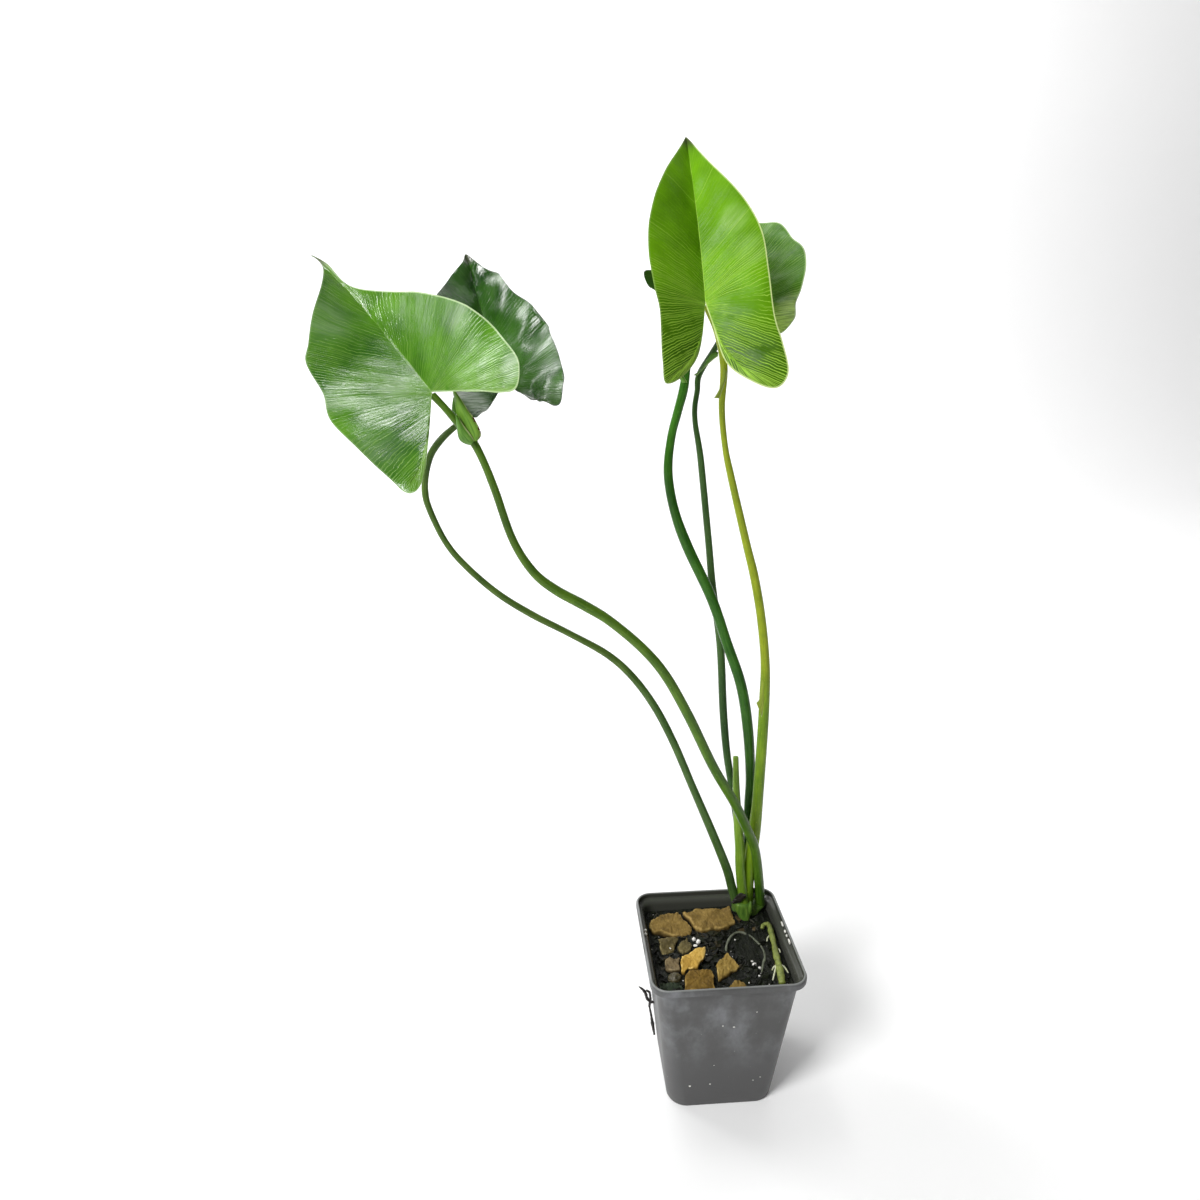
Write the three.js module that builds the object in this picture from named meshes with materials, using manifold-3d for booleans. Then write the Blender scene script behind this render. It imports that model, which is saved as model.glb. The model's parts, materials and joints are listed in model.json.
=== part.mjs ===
// A young Thaumatophyllum tweedieanum in a square nursery pot.
// Millimetres, +Z up. The origin is the middle of the pot's underside, and the photograph's
// front is toward -Y.
import * as THREE from 'three';
import { mergeVertices } from 'three/addons/utils/BufferGeometryUtils.js';
import Module from 'manifold-3d';

// Driving dimensions
const POT_TOP = 100;            // outer width across the rim
const POT_BASE = 71;            // outer width across the underside
const POT_HEIGHT = 108;
const WALL = 1.3;               // wall of the pot
const COLLAR = 7;               // height of the collar below the rim
const SHELF = 4.2;              // how far the collar stands out from the body
const RIM_RADIUS = 9;           // corner radius at the rim
const BASE_RADIUS = 13;         // corner radius at the underside
const GAP = 0.3;                // clearance between pieces that touch
const MIDDLE = 50;              // half way up the pot's body
const MIX_TOP = 95.8;           // general level of the potting mix
const MIX_BOTTOM = 1.8;         // just above the pot's floor
const CROWN = { x: 31.5, y: 39, rx: 11.5, ry: 6.5, top: 102.2, bottom: 72 };
const BLADE = 0.7;              // thickness of a leaf blade
const RIDGE = 1.2;              // depth of the midrib's ridge under the blade
const DRAIN = { radius: 4.5, out: 21 };                 // holes near the corners of the pot's floor
const ROOT_HOLE = { radius: 1.7, y: 9, z: 47 };         // hole in the left wall
const SLIT = { height: 1.9, z: 104 };                   // slits in the collar
const SLITS = [[4.6, 12], [-1.4, 3.4], [-5.2, -2.6], [-11.8, -6.4]];   // their reach along y
const MOUND = { x: 30, y: 38, height: 3.2, spread: 160 };    // potting mix heaped round the crown
const HOLLOW = { x: 13, y: -2, depth: 2.6, spread: 260 };    // and sunk in front of it

const wasm = await Module();
wasm.setup();

const rad = THREE.MathUtils.degToRad;
const v3 = (x, y, z) => new THREE.Vector3(x, y, z);

// Closed solids

function bodyFrom(points, triangles) {
  const geometry = new THREE.BufferGeometry();
  const places = points.flatMap((p) => [p.x, p.y, p.z]);
  geometry.setAttribute('position', new THREE.Float32BufferAttribute(places, 3));
  geometry.setIndex(triangles.flat());
  return geometry;
}

function toSolid(geometry) {
  const plain = geometry.clone();
  plain.deleteAttribute('normal');
  plain.deleteAttribute('uv');
  const merged = mergeVertices(plain, 1e-4);
  return new wasm.Manifold(new wasm.Mesh({
    numProp: 3,
    vertProperties: new Float32Array(merged.attributes.position.array),
    triVerts: new Uint32Array(merged.index.array),
  }));
}

function toGeometry(solid) {
  const mesh = solid.getMesh();
  const geometry = new THREE.BufferGeometry();
  geometry.setAttribute('position', new THREE.BufferAttribute(mesh.vertProperties, 3));
  geometry.setIndex(new THREE.BufferAttribute(mesh.triVerts, 1));
  return geometry;
}

// The largest body of a solid, without the scraps that a cut leaves
function largest(solid) {
  return solid.decompose().reduce((a, b) => (b.volume() > a.volume() ? b : a));
}

// The part of a solid within reach of a point, made thicker by the gap on every side
function thickened(solid, centre, reach, gap) {
  const ball = new THREE.IcosahedronGeometry(reach, 2);
  ball.translate(...centre);
  const near = solid.intersect(toSolid(ball));
  const shifts = [[gap, 0, 0], [-gap, 0, 0], [0, gap, 0], [0, -gap, 0], [0, 0, gap], [0, 0, -gap]];
  return shifts.reduce((sum, shift) => sum.add(near.translate(shift)), near);
}

// Rings of equal count joined into a tube, with a flat or pointed end at each side
function skin(rings) {
  const n = rings[0].length;
  const points = rings.flat();
  const triangles = [];
  for (let i = 0; i + 1 < rings.length; i += 1) {
    for (let j = 0; j < n; j += 1) {
      const a = i * n + j;
      const b = i * n + ((j + 1) % n);
      triangles.push([a, b, b + n], [a, b + n, a + n]);
    }
  }
  const middle = (ring) => ring.reduce((s, p) => s.add(p), v3(0, 0, 0)).divideScalar(n);
  points.push(middle(rings[0]), middle(rings[rings.length - 1]));
  const first = points.length - 2;
  const last = points.length - 1;
  const end = (rings.length - 1) * n;
  for (let j = 0; j < n; j += 1) {
    triangles.push([first, (j + 1) % n, j], [last, end + j, end + ((j + 1) % n)]);
  }
  return bodyFrom(points, triangles);
}

// A tapered stalk: a round section of the radius given with each point, with domed ends
function stalk(route, sides, perSpan, grow = 0) {
  const places = route.map((p) => v3(p[0], p[1], p[2]));
  const curve = new THREE.CatmullRomCurve3(places, false, 'catmullrom', 0.5);
  const steps = Math.round((route.length - 1) * perSpan);
  const rings = [];
  let normal = null;
  for (let i = 0; i <= steps; i += 1) {
    const t = i / steps;
    const along = curve.getTangent(t);
    normal = (normal ?? v3(1, 0.2, 0.1)).clone().projectOnPlane(along).normalize();
    const side = along.clone().cross(normal);
    const k = Math.min(Math.floor(t * (route.length - 1)), route.length - 2);
    const f = t * (route.length - 1) - k;
    const radius = THREE.MathUtils.lerp(route[k][3], route[k + 1][3], f) + grow;
    const centre = curve.getPoint(t);
    if (i === 0) centre.addScaledVector(along, -grow);
    if (i === steps) centre.addScaledVector(along, grow);
    const ring = [];
    for (let j = 0; j < sides; j += 1) {
      const a = (2 * Math.PI * j) / sides;
      ring.push(centre.clone()
        .addScaledVector(normal, radius * Math.cos(a))
        .addScaledVector(side, radius * Math.sin(a)));
    }
    rings.push(ring);
  }
  return skin(rings);
}

// Ellipses one above the other, each given as x, y, z, half width, half depth
function stump(levels, sides) {
  return skin(levels.map(([x, y, z, rx, ry]) => Array.from({ length: sides }, (_, j) => {
    const a = (2 * Math.PI * j) / sides;
    return v3(x + rx * Math.cos(a), y + ry * Math.sin(a), z);
  })));
}

// Pot: square rings with round corners, carried from the underside over the rim to the floor

const halfAt = (z) => (POT_BASE + (POT_TOP - 2 * SHELF - POT_BASE) * (z / (POT_HEIGHT - COLLAR))) / 2;

function squareRing(half, corner, z) {
  const ring = [];
  const steps = 6;
  for (let q = 0; q < 4; q += 1) {
    for (let i = 0; i <= steps; i += 1) {
      const a = (Math.PI / 2) * (q + i / steps);
      const cx = (half - corner) * Math.sign(Math.cos(Math.PI / 4 + (q * Math.PI) / 2));
      const cy = (half - corner) * Math.sign(Math.sin(Math.PI / 4 + (q * Math.PI) / 2));
      ring.push(v3(cx + corner * Math.cos(a), cy + corner * Math.sin(a), z));
    }
  }
  return ring;
}

function potBody() {
  const shelfZ = POT_HEIGHT - COLLAR;
  const half = POT_TOP / 2;
  const neck = half - SHELF;
  const outside = [
    [halfAt(0) - 1.2, BASE_RADIUS - 1, 0],
    [halfAt(0), BASE_RADIUS, 1.6],
    [halfAt(MIDDLE), 11, MIDDLE],
    [neck, RIM_RADIUS - 1, shelfZ - WALL],
    [half, RIM_RADIUS + 1, shelfZ - 0.4],
    [half, RIM_RADIUS, POT_HEIGHT - 0.6],
    [half - 0.5, RIM_RADIUS - 0.5, POT_HEIGHT],
  ];
  const inside = [
    [half - WALL, RIM_RADIUS - WALL, POT_HEIGHT - 0.4],
    [half - WALL, RIM_RADIUS, shelfZ + 0.6],
    [neck - 0.2, RIM_RADIUS - 2, shelfZ],
    [neck - WALL, RIM_RADIUS - 2, shelfZ - 1.2],
    [halfAt(MIDDLE) - WALL, 10, MIDDLE],
    [halfAt(1.6) - WALL, BASE_RADIUS - 1, 2.4],
    [halfAt(0) - 3, BASE_RADIUS - 2, 1.5],
  ];
  const rings = [...outside, ...inside].map(([h, r, z]) => squareRing(h, r, z));
  let solid = toSolid(skin(rings));
  const through = 8;            // length of the bodies that cut the wall and the floor
  const cut = (geometry, x, y, z) => {
    geometry.translate(x, y, z);
    solid = solid.subtract(toSolid(geometry));
  };
  for (const sx of [-1, 1]) {
    for (const sy of [-1, 1]) {
      const hole = new THREE.CylinderGeometry(DRAIN.radius, DRAIN.radius, through, 14);
      hole.rotateX(Math.PI / 2);
      cut(hole, DRAIN.out * sx, DRAIN.out * sy, 0);
    }
    // The slits are half way along the left and right sides
    for (const [from, to] of SLITS) {
      const slit = new THREE.BoxGeometry(through, to - from, SLIT.height);
      cut(slit, (half + 2) * sx, (from + to) / 2, SLIT.z);
    }
  }
  const exit = new THREE.CylinderGeometry(ROOT_HOLE.radius, ROOT_HOLE.radius, through, 10);
  exit.rotateZ(Math.PI / 2);
  cut(exit, -halfAt(ROOT_HOLE.z), ROOT_HOLE.y, ROOT_HOLE.z);
  return largest(solid);
}

// Leaf blades
// A blade is two halves. Each half is ruled by curved veins, which leave the midrib (and, past the
// stalk, the rib of the basal lobe) and end on the margin. The halves are folded, bowed and waved.

const RIB_LEAVES = [1, 0.8, 0.6, 0.385, 0.2, 0.055, 0];   // where the veins leave the midrib
const LOBE_RIB = [0.88, 0.45, 0.2, 0.06, 0];               // reach of the lobe's rib
const STATIONS = 14;                                       // outline points from tip to stalk, less one
const LOBE_END = 10;                                       // the outline point at the lobe's end

const stepIn = (list, x) => {
  const i = Math.min(Math.floor(x), list.length - 2);
  return THREE.MathUtils.lerp(list[i], list[i + 1], x - i);
};

function outlineAt(points, m) {
  const i = Math.min(Math.floor(m), points.length - 2);
  const f = m - i;
  const at = (k) => points[Math.max(0, Math.min(points.length - 1, k))];
  return [0, 1].map((c) => {
    const p1 = at(i)[c];
    const p2 = at(i + 1)[c];
    const t1 = (p2 - at(i - 1)[c]) / 2;
    const t2 = (at(i + 2)[c] - p1) / 2;
    return (2 * p1 - 2 * p2 + t1 + t2) * f ** 3 + (3 * p2 - 3 * p1 - 2 * t1 - t2) * f ** 2 + t1 * f + p1;
  });
}

// A point of the flat half: m runs round the outline, t from rib to margin
function flatAt(points, m, t) {
  const margin = outlineAt(points, m);
  let rib = [points[0][0] * stepIn(RIB_LEAVES, Math.min(m, 6)), 0];
  if (m > 6) {
    const reach = stepIn(LOBE_RIB, Math.min(4, Math.abs(m - LOBE_END)));
    rib = points[LOBE_END].map((c) => c * reach);
  }
  const du = margin[0] - rib[0];
  const dv = margin[1] - rib[1];
  const bow = 0.12 * Math.hypot(du, dv) * t * (1 - t) * Math.max(0, (LOBE_END - m) / LOBE_END);
  return [rib[0] + du * t - bow, rib[1] + dv * t];
}

function bladePoint(leaf, side, m, t) {
  const points = side < 0 ? leaf.left : leaf.right;
  const [u, v] = flatAt(points, m, t);
  const fold = rad(side < 0 ? leaf.foldLeft : leaf.foldRight);
  const curl = Math.abs(leaf.curl) < 1e-5 ? 1e-5 : leaf.curl;
  const across = (Math.sin(fold) - Math.sin(fold - curl * v)) / curl;
  const fade = Math.min(1, m) * THREE.MathUtils.clamp((12 - m) / 3, 0, 1);
  const phase = side < 0 ? leaf.waveLeft : leaf.waveRight;
  const wave = leaf.wave * t * t * fade * Math.sin((leaf.waves * 2 * Math.PI * m) / STATIONS + phase);
  const rise = (Math.cos(fold - curl * v) - Math.cos(fold)) / curl + wave;
  const bend = u > 0 ? leaf.arch : (side < 0 ? leaf.droopLeft : leaf.droopRight);
  const k = Math.abs(bend) < 1e-5 ? 1e-5 : bend;
  const along = Math.sin(k * u) / k + rise * Math.sin(k * u);
  const twist = leaf.twist * Math.max(u, 0) ** 2;
  const up = -(1 - Math.cos(k * u)) / k + rise * Math.cos(k * u)
    + side * across * Math.sin(twist) + rise * (Math.cos(twist) - 1);
  const hook = leaf.hook * Math.max(0, u - leaf.hookFrom) ** 2;
  const over = side * across * Math.cos(twist) - rise * Math.sin(twist)
    + leaf.sweep * Math.max(u, 0) ** 2 - hook;
  const tip = v3(
    Math.cos(rad(leaf.elevation)) * Math.cos(rad(leaf.azimuth)),
    Math.cos(rad(leaf.elevation)) * Math.sin(rad(leaf.azimuth)),
    Math.sin(rad(leaf.elevation)),
  );
  const face = v3(0, -1, 0).projectOnPlane(tip).normalize();
  const right = tip.clone().cross(face).applyAxisAngle(tip, -rad(leaf.roll));
  const normal = right.clone().cross(tip);
  return v3(...leaf.stalkEnd)
    .addScaledVector(tip, along)
    .addScaledVector(right, over)
    .addScaledVector(normal, up);
}

const VEIN_STEPS = [0, 0.1, 0.4, 0.72, 1];

function bladeBody(leaf) {
  const perStation = 2;
  const found = new Map();
  const middle = [];
  const ridge = [];
  const triangles = [];
  const index = (side, m, t) => {
    const p = bladePoint(leaf, side, m, t);
    const key = [p.x, p.y, p.z].map((c) => c.toFixed(3)).join(' ');
    if (!found.has(key)) {
      found.set(key, middle.length);
      middle.push(p);
      const onMidrib = t === 0 && m <= 6;
      const onLobeRib = t === 0 && m > 6;
      let depth = 0;
      if (onMidrib) depth = 0.25 + 0.75 * (m / 6);
      if (onLobeRib) depth = Math.max(0.2, 0.5 * (1 - Math.min(1, (STATIONS - m) / 8)));
      ridge.push(RIDGE * depth);
    }
    return found.get(key);
  };
  for (const side of [-1, 1]) {
    for (let i = 0; i < STATIONS * perStation; i += 1) {
      for (let j = 0; j + 1 < VEIN_STEPS.length; j += 1) {
        const a = index(side, i / perStation, VEIN_STEPS[j]);
        const b = index(side, i / perStation, VEIN_STEPS[j + 1]);
        const c = index(side, (i + 1) / perStation, VEIN_STEPS[j + 1]);
        const d = index(side, (i + 1) / perStation, VEIN_STEPS[j]);
        for (const tri of [[a, b, c], [a, c, d]]) {
          if (new Set(tri).size === 3) triangles.push(side > 0 ? [tri[0], tri[2], tri[1]] : tri);
        }
      }
    }
  }
  const normals = middle.map(() => v3(0, 0, 0));
  for (const [a, b, c] of triangles) {
    const n = middle[b].clone().sub(middle[a]).cross(middle[c].clone().sub(middle[a]));
    for (const k of [a, b, c]) normals[k].add(n);
  }
  normals.forEach((n) => n.normalize());
  const count = middle.length;
  const half = BLADE / 2;
  const top = middle.map((p, k) => p.clone().addScaledVector(normals[k], half));
  const under = middle.map((p, k) => p.clone().addScaledVector(normals[k], -half - ridge[k]));
  const all = [...triangles, ...triangles.map(([a, b, c]) => [a + count, c + count, b + count])];
  const edges = new Set(triangles.flatMap(([a, b, c]) => [`${a} ${b}`, `${b} ${c}`, `${c} ${a}`]));
  for (const edge of edges) {
    const [a, b] = edge.split(' ').map(Number);
    if (!edges.has(`${b} ${a}`)) all.push([b, a, a + count], [b, a + count, b + count]);
  }
  return toSolid(bodyFrom([...top, ...under], all));
}

// Outlines run from the tip round the basal lobe to the stalk, as distance toward the tip and
// distance from the midrib.
const LEAVES = {
  front_left: {
    stalkEnd: [-165.2, -15, 468.1], azimuth: 122, elevation: 29, roll: -7.5,
    foldLeft: 28, foldRight: 38, curl: 0.0031, arch: -0.0045, droopLeft: 0.003, droopRight: 0.002,
    twist: -5e-5, sweep: -0.00028, hook: 0.0097, hookFrom: 104,
    wave: 1.6, waves: 3.5, waveLeft: 2.6, waveRight: 0.5,
    left: [[117, 0], [108, 0.9], [93.5, 12.4], [75.7, 27.9], [59, 40.2], [49.9, 47.3], [28.9, 48.5],
      [9.2, 52.2], [-16.4, 48.9], [-38.5, 44.8], [-52.1, 41.6], [-53.3, 34.5], [-42.2, 24.6],
      [-19.1, 10.3], [0, 0]],
    right: [[117, 0], [106, 1.2], [90.3, 2.9], [73.6, 13.9], [48.7, 29.8], [16.1, 44.5], [-9, 51.8],
      [-29.9, 53.1], [-45.4, 52.2], [-51.5, 48.7], [-53.9, 41.2], [-46.6, 33], [-33, 23.4],
      [-15.7, 10.8], [0, 0]],
    stalk: [[39.3, 38.5, 101.6, 3.4], [37.2, 35.5, 119.1, 3.4], [31.2, 29.3, 152.3, 3.2],
      [22.6, 23.5, 174.6, 3.2], [12.3, 18, 197.5, 3.2], [-4.3, 12, 228.6, 3.15], [-22, 5, 267.5, 3.13],
      [-37.6, 0, 297.5, 3.04], [-52.5, -4, 317.5, 2.9], [-71.9, -7, 336.2, 2.83],
      [-86.6, -9, 346.8, 3.01], [-103.7, -10, 357.5, 2.82], [-116, -11, 369, 2.51],
      [-126.5, -12, 387.8, 2.26], [-134.9, -14, 415.9, 2.2], [-140.7, -14, 432.3, 2.1],
      [-145.8, -14, 442.8, 2.2], [-151.9, -15, 451, 2.2], [-159.1, -15.2, 460, 1.85],
      [-165, -15.4, 466.7, 1.97]],
    leafColour: 0x2f7a1f, stalkColour: 0x3f7a2c,
  },
  front_right: {
    stalkEnd: [-21.1, -2, 511.3], azimuth: 92, elevation: 63, roll: -3,
    foldLeft: 40, foldRight: 34, curl: 0.0089, arch: 0.0017, droopLeft: 0, droopRight: 0,
    twist: 2e-5, sweep: -0.00014, hook: 0, hookFrom: 0,
    wave: 1, waves: 3, waveLeft: 0.4, waveRight: 2.4,
    left: [[103.6, 0], [90.7, 6.9], [72.8, 18.7], [54.3, 28.4], [35, 34.8], [16.4, 37.4], [0.2, 35.8],
      [-11.4, 32.9], [-23.8, 32.9], [-39.5, 33.4], [-51.6, 32.6], [-45.5, 20.8], [-31.9, 9.3],
      [-15.9, 3.3], [0, 0]],
    right: [[103.6, 0], [96.6, 3.9], [79.8, 12.2], [62.2, 21.6], [45.3, 29.2], [30.1, 33.7], [12.2, 35],
      [-13.9, 35.9], [-29.5, 38.3], [-45.9, 39.7], [-53.1, 33.1], [-47.9, 21.5], [-35.5, 9], [-16.2, 4],
      [0, 0]],
    stalk: [[30, 37.5, 101.6, 3.6], [30.1, 37.5, 132.1, 3.6], [32.3, 37, 162.3, 3.8],
      [32.5, 35, 198.8, 3.7], [32.6, 33, 235, 3.5], [32, 31, 267, 3.4], [30.5, 29, 293, 2.94],
      [26, 27, 322.9, 2.8], [19.8, 24, 350, 2.73], [12.9, 21, 373, 2.45], [0.2, 13, 414.8, 2.12],
      [-5.1, 9, 434, 1.75], [-8.5, 5.5, 456, 1.8], [-8.5, 4, 478, 2.1], [-13, 2.5, 496, 1.9],
      [-20, -0.4, 509.8, 1.8]],
    leafColour: 0x6cb41e, stalkColour: 0x8fb32c,
  },
  back_left: {
    stalkEnd: [-130.5, 52, 467], azimuth: 103, elevation: 32, roll: -9,
    foldLeft: 43, foldRight: 40, curl: -0.0011, arch: -0.0037, droopLeft: -0.0022, droopRight: -0.0012,
    twist: 0, sweep: 0, hook: 0, hookFrom: 0,
    wave: 2.2, waves: 5, waveLeft: 0, waveRight: 1,
    left: [[110.3, 0], [101.1, 5.2], [87.4, 18.7], [62.9, 33.6], [46.7, 37.8], [22.4, 41.7], [0, 41.2],
      [-21, 40.8], [-38, 40.2], [-50.5, 38.1], [-56.3, 32.5], [-51.3, 25.8], [-38, 18], [-19.4, 9.4],
      [0, 0]],
    right: [[110.3, 0], [94.5, 9.6], [79.2, 21.6], [52, 28.1], [31.2, 38.7], [7.3, 42.6], [-18.7, 42.8],
      [-29.2, 42.8], [-44, 40.5], [-54, 35.5], [-56.5, 30.5], [-49.5, 24.2], [-36.8, 17.6],
      [-18.7, 8.8], [0, 0]],
    stalk: [[21.2, 34.5, 101.6, 3.3], [20.6, 34.5, 108.2, 3.3], [17, 34.8, 120.7, 3.2],
      [12.5, 34, 136.8, 3.2], [1.4, 35, 165.7, 2.98], [-12.5, 37, 199.8, 2.67],
      [-25.6, 39, 232.2, 2.63], [-38.5, 41, 258.3, 2.59], [-53.4, 43, 279.7, 2.48],
      [-69.9, 45, 295.2, 2.37], [-94.2, 47, 309.7, 2.1], [-117.2, 48, 322.6, 2.24],
      [-138.8, 49, 337.3, 2.13], [-158.2, 50, 355.8, 2.03], [-169.9, 51, 371.5, 1.93],
      [-178.4, 52, 391.8, 1.98], [-180.5, 53, 403, 2.12], [-179, 53, 414, 1.9],
      [-175.5, 53, 425.2, 2.17], [-169, 53, 434, 2.23], [-161, 53, 441, 1.9], [-150, 52.5, 449, 1.9],
      [-138, 52.2, 460, 1.8], [-131.2, 52, 466, 1.7]],
    leafColour: 0x1f4f22, stalkColour: 0x35632c,
  },
  back_right: {
    stalkEnd: [16, 67, 512], azimuth: 77, elevation: 37, roll: -2,
    foldLeft: 52, foldRight: 52, curl: 0, arch: 0.0005, droopLeft: 0.0046, droopRight: -0.003,
    twist: 0, sweep: 0, hook: 0, hookFrom: 0,
    wave: 2.2, waves: 4.5, waveLeft: 0, waveRight: 2,
    left: [[94.5, 0], [85, 4.2], [72.8, 12.3], [57.7, 22.2], [39.7, 30.2], [19, 35], [0, 36],
      [-19, 36.5], [-34.3, 36], [-45.8, 33.7], [-51.6, 27.6], [-47.7, 20.3], [-36.2, 12.2], [-19, 5.2],
      [0, 0]],
    right: [[94.5, 0], [85, 4.6], [73, 13], [61.7, 21.9], [45.4, 30.9], [29, 38], [5.1, 38.1],
      [-11.3, 37.5], [-24.1, 33.3], [-42, 30], [-49, 25.5], [-46.3, 19.4], [-35.7, 12], [-18.8, 5],
      [0, 0]],
    stalk: [[25.6, 41.5, 101.6, 2.6], [24.4, 41.8, 142.6, 2.6], [21.4, 44, 164.9, 2.6],
      [16.7, 46.3, 193.8, 2.6], [12.5, 48, 219, 2.62], [9.6, 51, 249, 2.68], [6.7, 56, 296, 2.6],
      [0.9, 59, 334, 2.5], [-2.2, 61, 363, 2.3], [-7.9, 63, 411, 2.17], [-9.9, 63.5, 425, 1.99],
      [-12.6, 64.5, 439.9, 1.74], [-13.1, 65, 450, 1.73], [-11.8, 65.3, 460, 1.72],
      [-10.8, 65.7, 469.5, 1.9], [-2, 66.3, 484, 1.8], [8, 66.8, 500, 1.8], [15.2, 66.8, 511, 1.7]],
    leafColour: 0x2f6a26, stalkColour: 0x3b6b33,
  },
  rear: {
    stalkEnd: [-17.8, 56, 512], azimuth: 90, elevation: 12, roll: 13.5,
    foldLeft: 38, foldRight: 52, curl: 0.004, arch: -0.002, droopLeft: 0.001, droopRight: 0.001,
    twist: 0, sweep: 0, hook: 0, hookFrom: 0,
    wave: 1.4, waves: 4, waveLeft: 0, waveRight: 2,
    left: [[84, 0], [75.5, 3.6], [65, 10.4], [51.5, 19], [36, 25.5], [17, 29], [0, 29], [-15, 28],
      [-27, 26.5], [-35, 24], [-38.5, 19], [-35, 13], [-27, 8], [-14, 3.6], [0, 0]],
    right: [[84, 0], [75.5, 3.6], [65, 10.4], [51.5, 19], [36, 25.5], [17, 29], [0, 29], [-15, 28],
      [-27, 26.5], [-35, 24], [-38.5, 19], [-35, 13], [-27, 8], [-14, 3.6], [0, 0]],
    stalk: [[31.7, 43.4, 101.6, 3], [30, 44.5, 143.8, 3.1], [28.9, 44.5, 176.2, 3.2],
      [28.8, 44.3, 202.9, 3.3], [25.2, 43.5, 238.7, 3.6], [19.2, 44, 270.7, 3.54],
      [8.5, 45, 301.1, 3.4], [-2.2, 46, 331, 3.4], [-18.8, 48, 366.1, 3.43], [-27.3, 49, 389.4, 2.99],
      [-31.2, 50.5, 412, 2.88], [-29.5, 52, 432.9, 2.62], [-25.6, 53, 448.9, 2.68],
      [-22.3, 53.5, 462, 2.82], [-20.5, 54.5, 476, 2.4], [-19, 55.2, 492, 2.2], [-18, 55.8, 510.8, 2]],
    leafColour: 0x1c4a20, stalkColour: 0x356a28,
  },
};
// The stalk that was cut off
const CUT = [[27.8, 32.3, 101.6, 3.5], [26.2, 32.3, 107.9, 3.5], [23.5, 32.5, 123.7, 3.4],
  [21.8, 33, 140.6, 3.4], [21, 33.3, 154.9, 3.3], [19.4, 33.5, 170, 3.1], [17, 34, 197.8, 2.4],
  [15.6, 34.3, 222.7, 1.85]];

// Sheath tips: a pointed flap that stands off its stalk, grown from it

const FLAPS = {
  front_left: [
    [[-146.2, -16.5, 444.4, 1.8], [-145.8, -17.4, 449.8, 2.2], [-148.4, -18, 455, 2.4],
      [-151.1, -18.6, 461.2, 1.7], [-154.4, -19, 469.4, 0.6]],
    [[-146.9, -15.5, 442.7, 1.3], [-150.1, -16.6, 444.5, 1.5], [-151.8, -17.2, 448, 1.3],
      [-152.8, -17.3, 451.4, 0.6]],
  ],
  front_right: [
    [[-8.6, 3, 477, 1.5], [-9.9, 1.4, 471, 1.5], [-11.2, 0.5, 466, 1.2], [-13.4, -0.2, 462, 0.6]],
    [[30.5, 30, 258, 2.4], [28.6, 29.3, 263.5, 1.7], [29, 29.3, 272, 1.2], [29.8, 29, 286, 0.6]],
  ],
  back_right: [[[-1, 66, 482, 1.4], [-4.8, 65.2, 479, 1.5], [-8.8, 64.3, 473.5, 1.1],
    [-13.8, 63.3, 469.5, 0.6]]],
  back_left: [[[-157, 52.6, 444, 1.4], [-160, 51.5, 451, 1.3], [-160, 51, 459, 0.6]]],
  rear: [[[-22, 53.8, 466, 1.8], [-25.5, 53, 472, 1.4], [-27, 53, 480, 0.6]]],
};

// Surface of the potting mix

function mixHeight(x, y) {
  const ripple = 0.8 * Math.sin(x / 6 + 1) * Math.cos(y / 7) + 0.5 * Math.sin((x + 2 * y) / 5);
  const bell = (at) => Math.exp(-((x - at.x) ** 2 + (y - at.y) ** 2) / at.spread);
  return MIX_TOP + ripple + MOUND.height * bell(MOUND) - HOLLOW.depth * bell(HOLLOW);
}

function mixBody() {
  const grid = 15;              // squares along each side of the surface
  const above = 130;            // height of the body that is cut away
  const edge = (z) => halfAt(z) - WALL - GAP;
  const rings = [[MIX_BOTTOM, -3.2], [3.4, -0.2], [MIDDLE, 0], [84, 0]]
    .map(([z, inset]) => squareRing(edge(z) + inset, z > 60 ? 8 : BASE_RADIUS - 2, z));
  const base = toSolid(skin([...rings, squareRing(edge(112), 6, 112)]));
  const points = [];
  const triangles = [];
  const reach = 50;
  for (let layer = 0; layer < 2; layer += 1) {
    for (let i = 0; i <= grid; i += 1) {
      for (let j = 0; j <= grid; j += 1) {
        const x = -reach + (2 * reach * i) / grid;
        const y = -reach + (2 * reach * j) / grid;
        points.push(v3(x, y, layer ? above : mixHeight(x, y)));
      }
    }
  }
  const at = (layer, i, j) => layer * (grid + 1) ** 2 + i * (grid + 1) + j;
  for (let i = 0; i < grid; i += 1) {
    for (let j = 0; j < grid; j += 1) {
      triangles.push([at(0, i, j), at(0, i + 1, j + 1), at(0, i + 1, j)]);
      triangles.push([at(0, i, j), at(0, i, j + 1), at(0, i + 1, j + 1)]);
      triangles.push([at(1, i, j), at(1, i + 1, j), at(1, i + 1, j + 1)]);
      triangles.push([at(1, i, j), at(1, i + 1, j + 1), at(1, i, j + 1)]);
    }
    triangles.push([at(0, i, 0), at(0, i + 1, 0), at(1, i + 1, 0)]);
    triangles.push([at(0, i, 0), at(1, i + 1, 0), at(1, i, 0)]);
    triangles.push([at(0, i, grid), at(1, i + 1, grid), at(0, i + 1, grid)]);
    triangles.push([at(0, i, grid), at(1, i, grid), at(1, i + 1, grid)]);
    triangles.push([at(0, 0, i), at(1, 0, i + 1), at(0, 0, i + 1)]);
    triangles.push([at(0, 0, i), at(1, 0, i), at(1, 0, i + 1)]);
    triangles.push([at(0, grid, i), at(0, grid, i + 1), at(1, grid, i + 1)]);
    triangles.push([at(0, grid, i), at(1, grid, i + 1), at(1, grid, i)]);
  }
  return base.subtract(toSolid(bodyFrom(points, triangles)));
}

// Chips of husk: an outline with a thickness, tipped and laid on the mix

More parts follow.
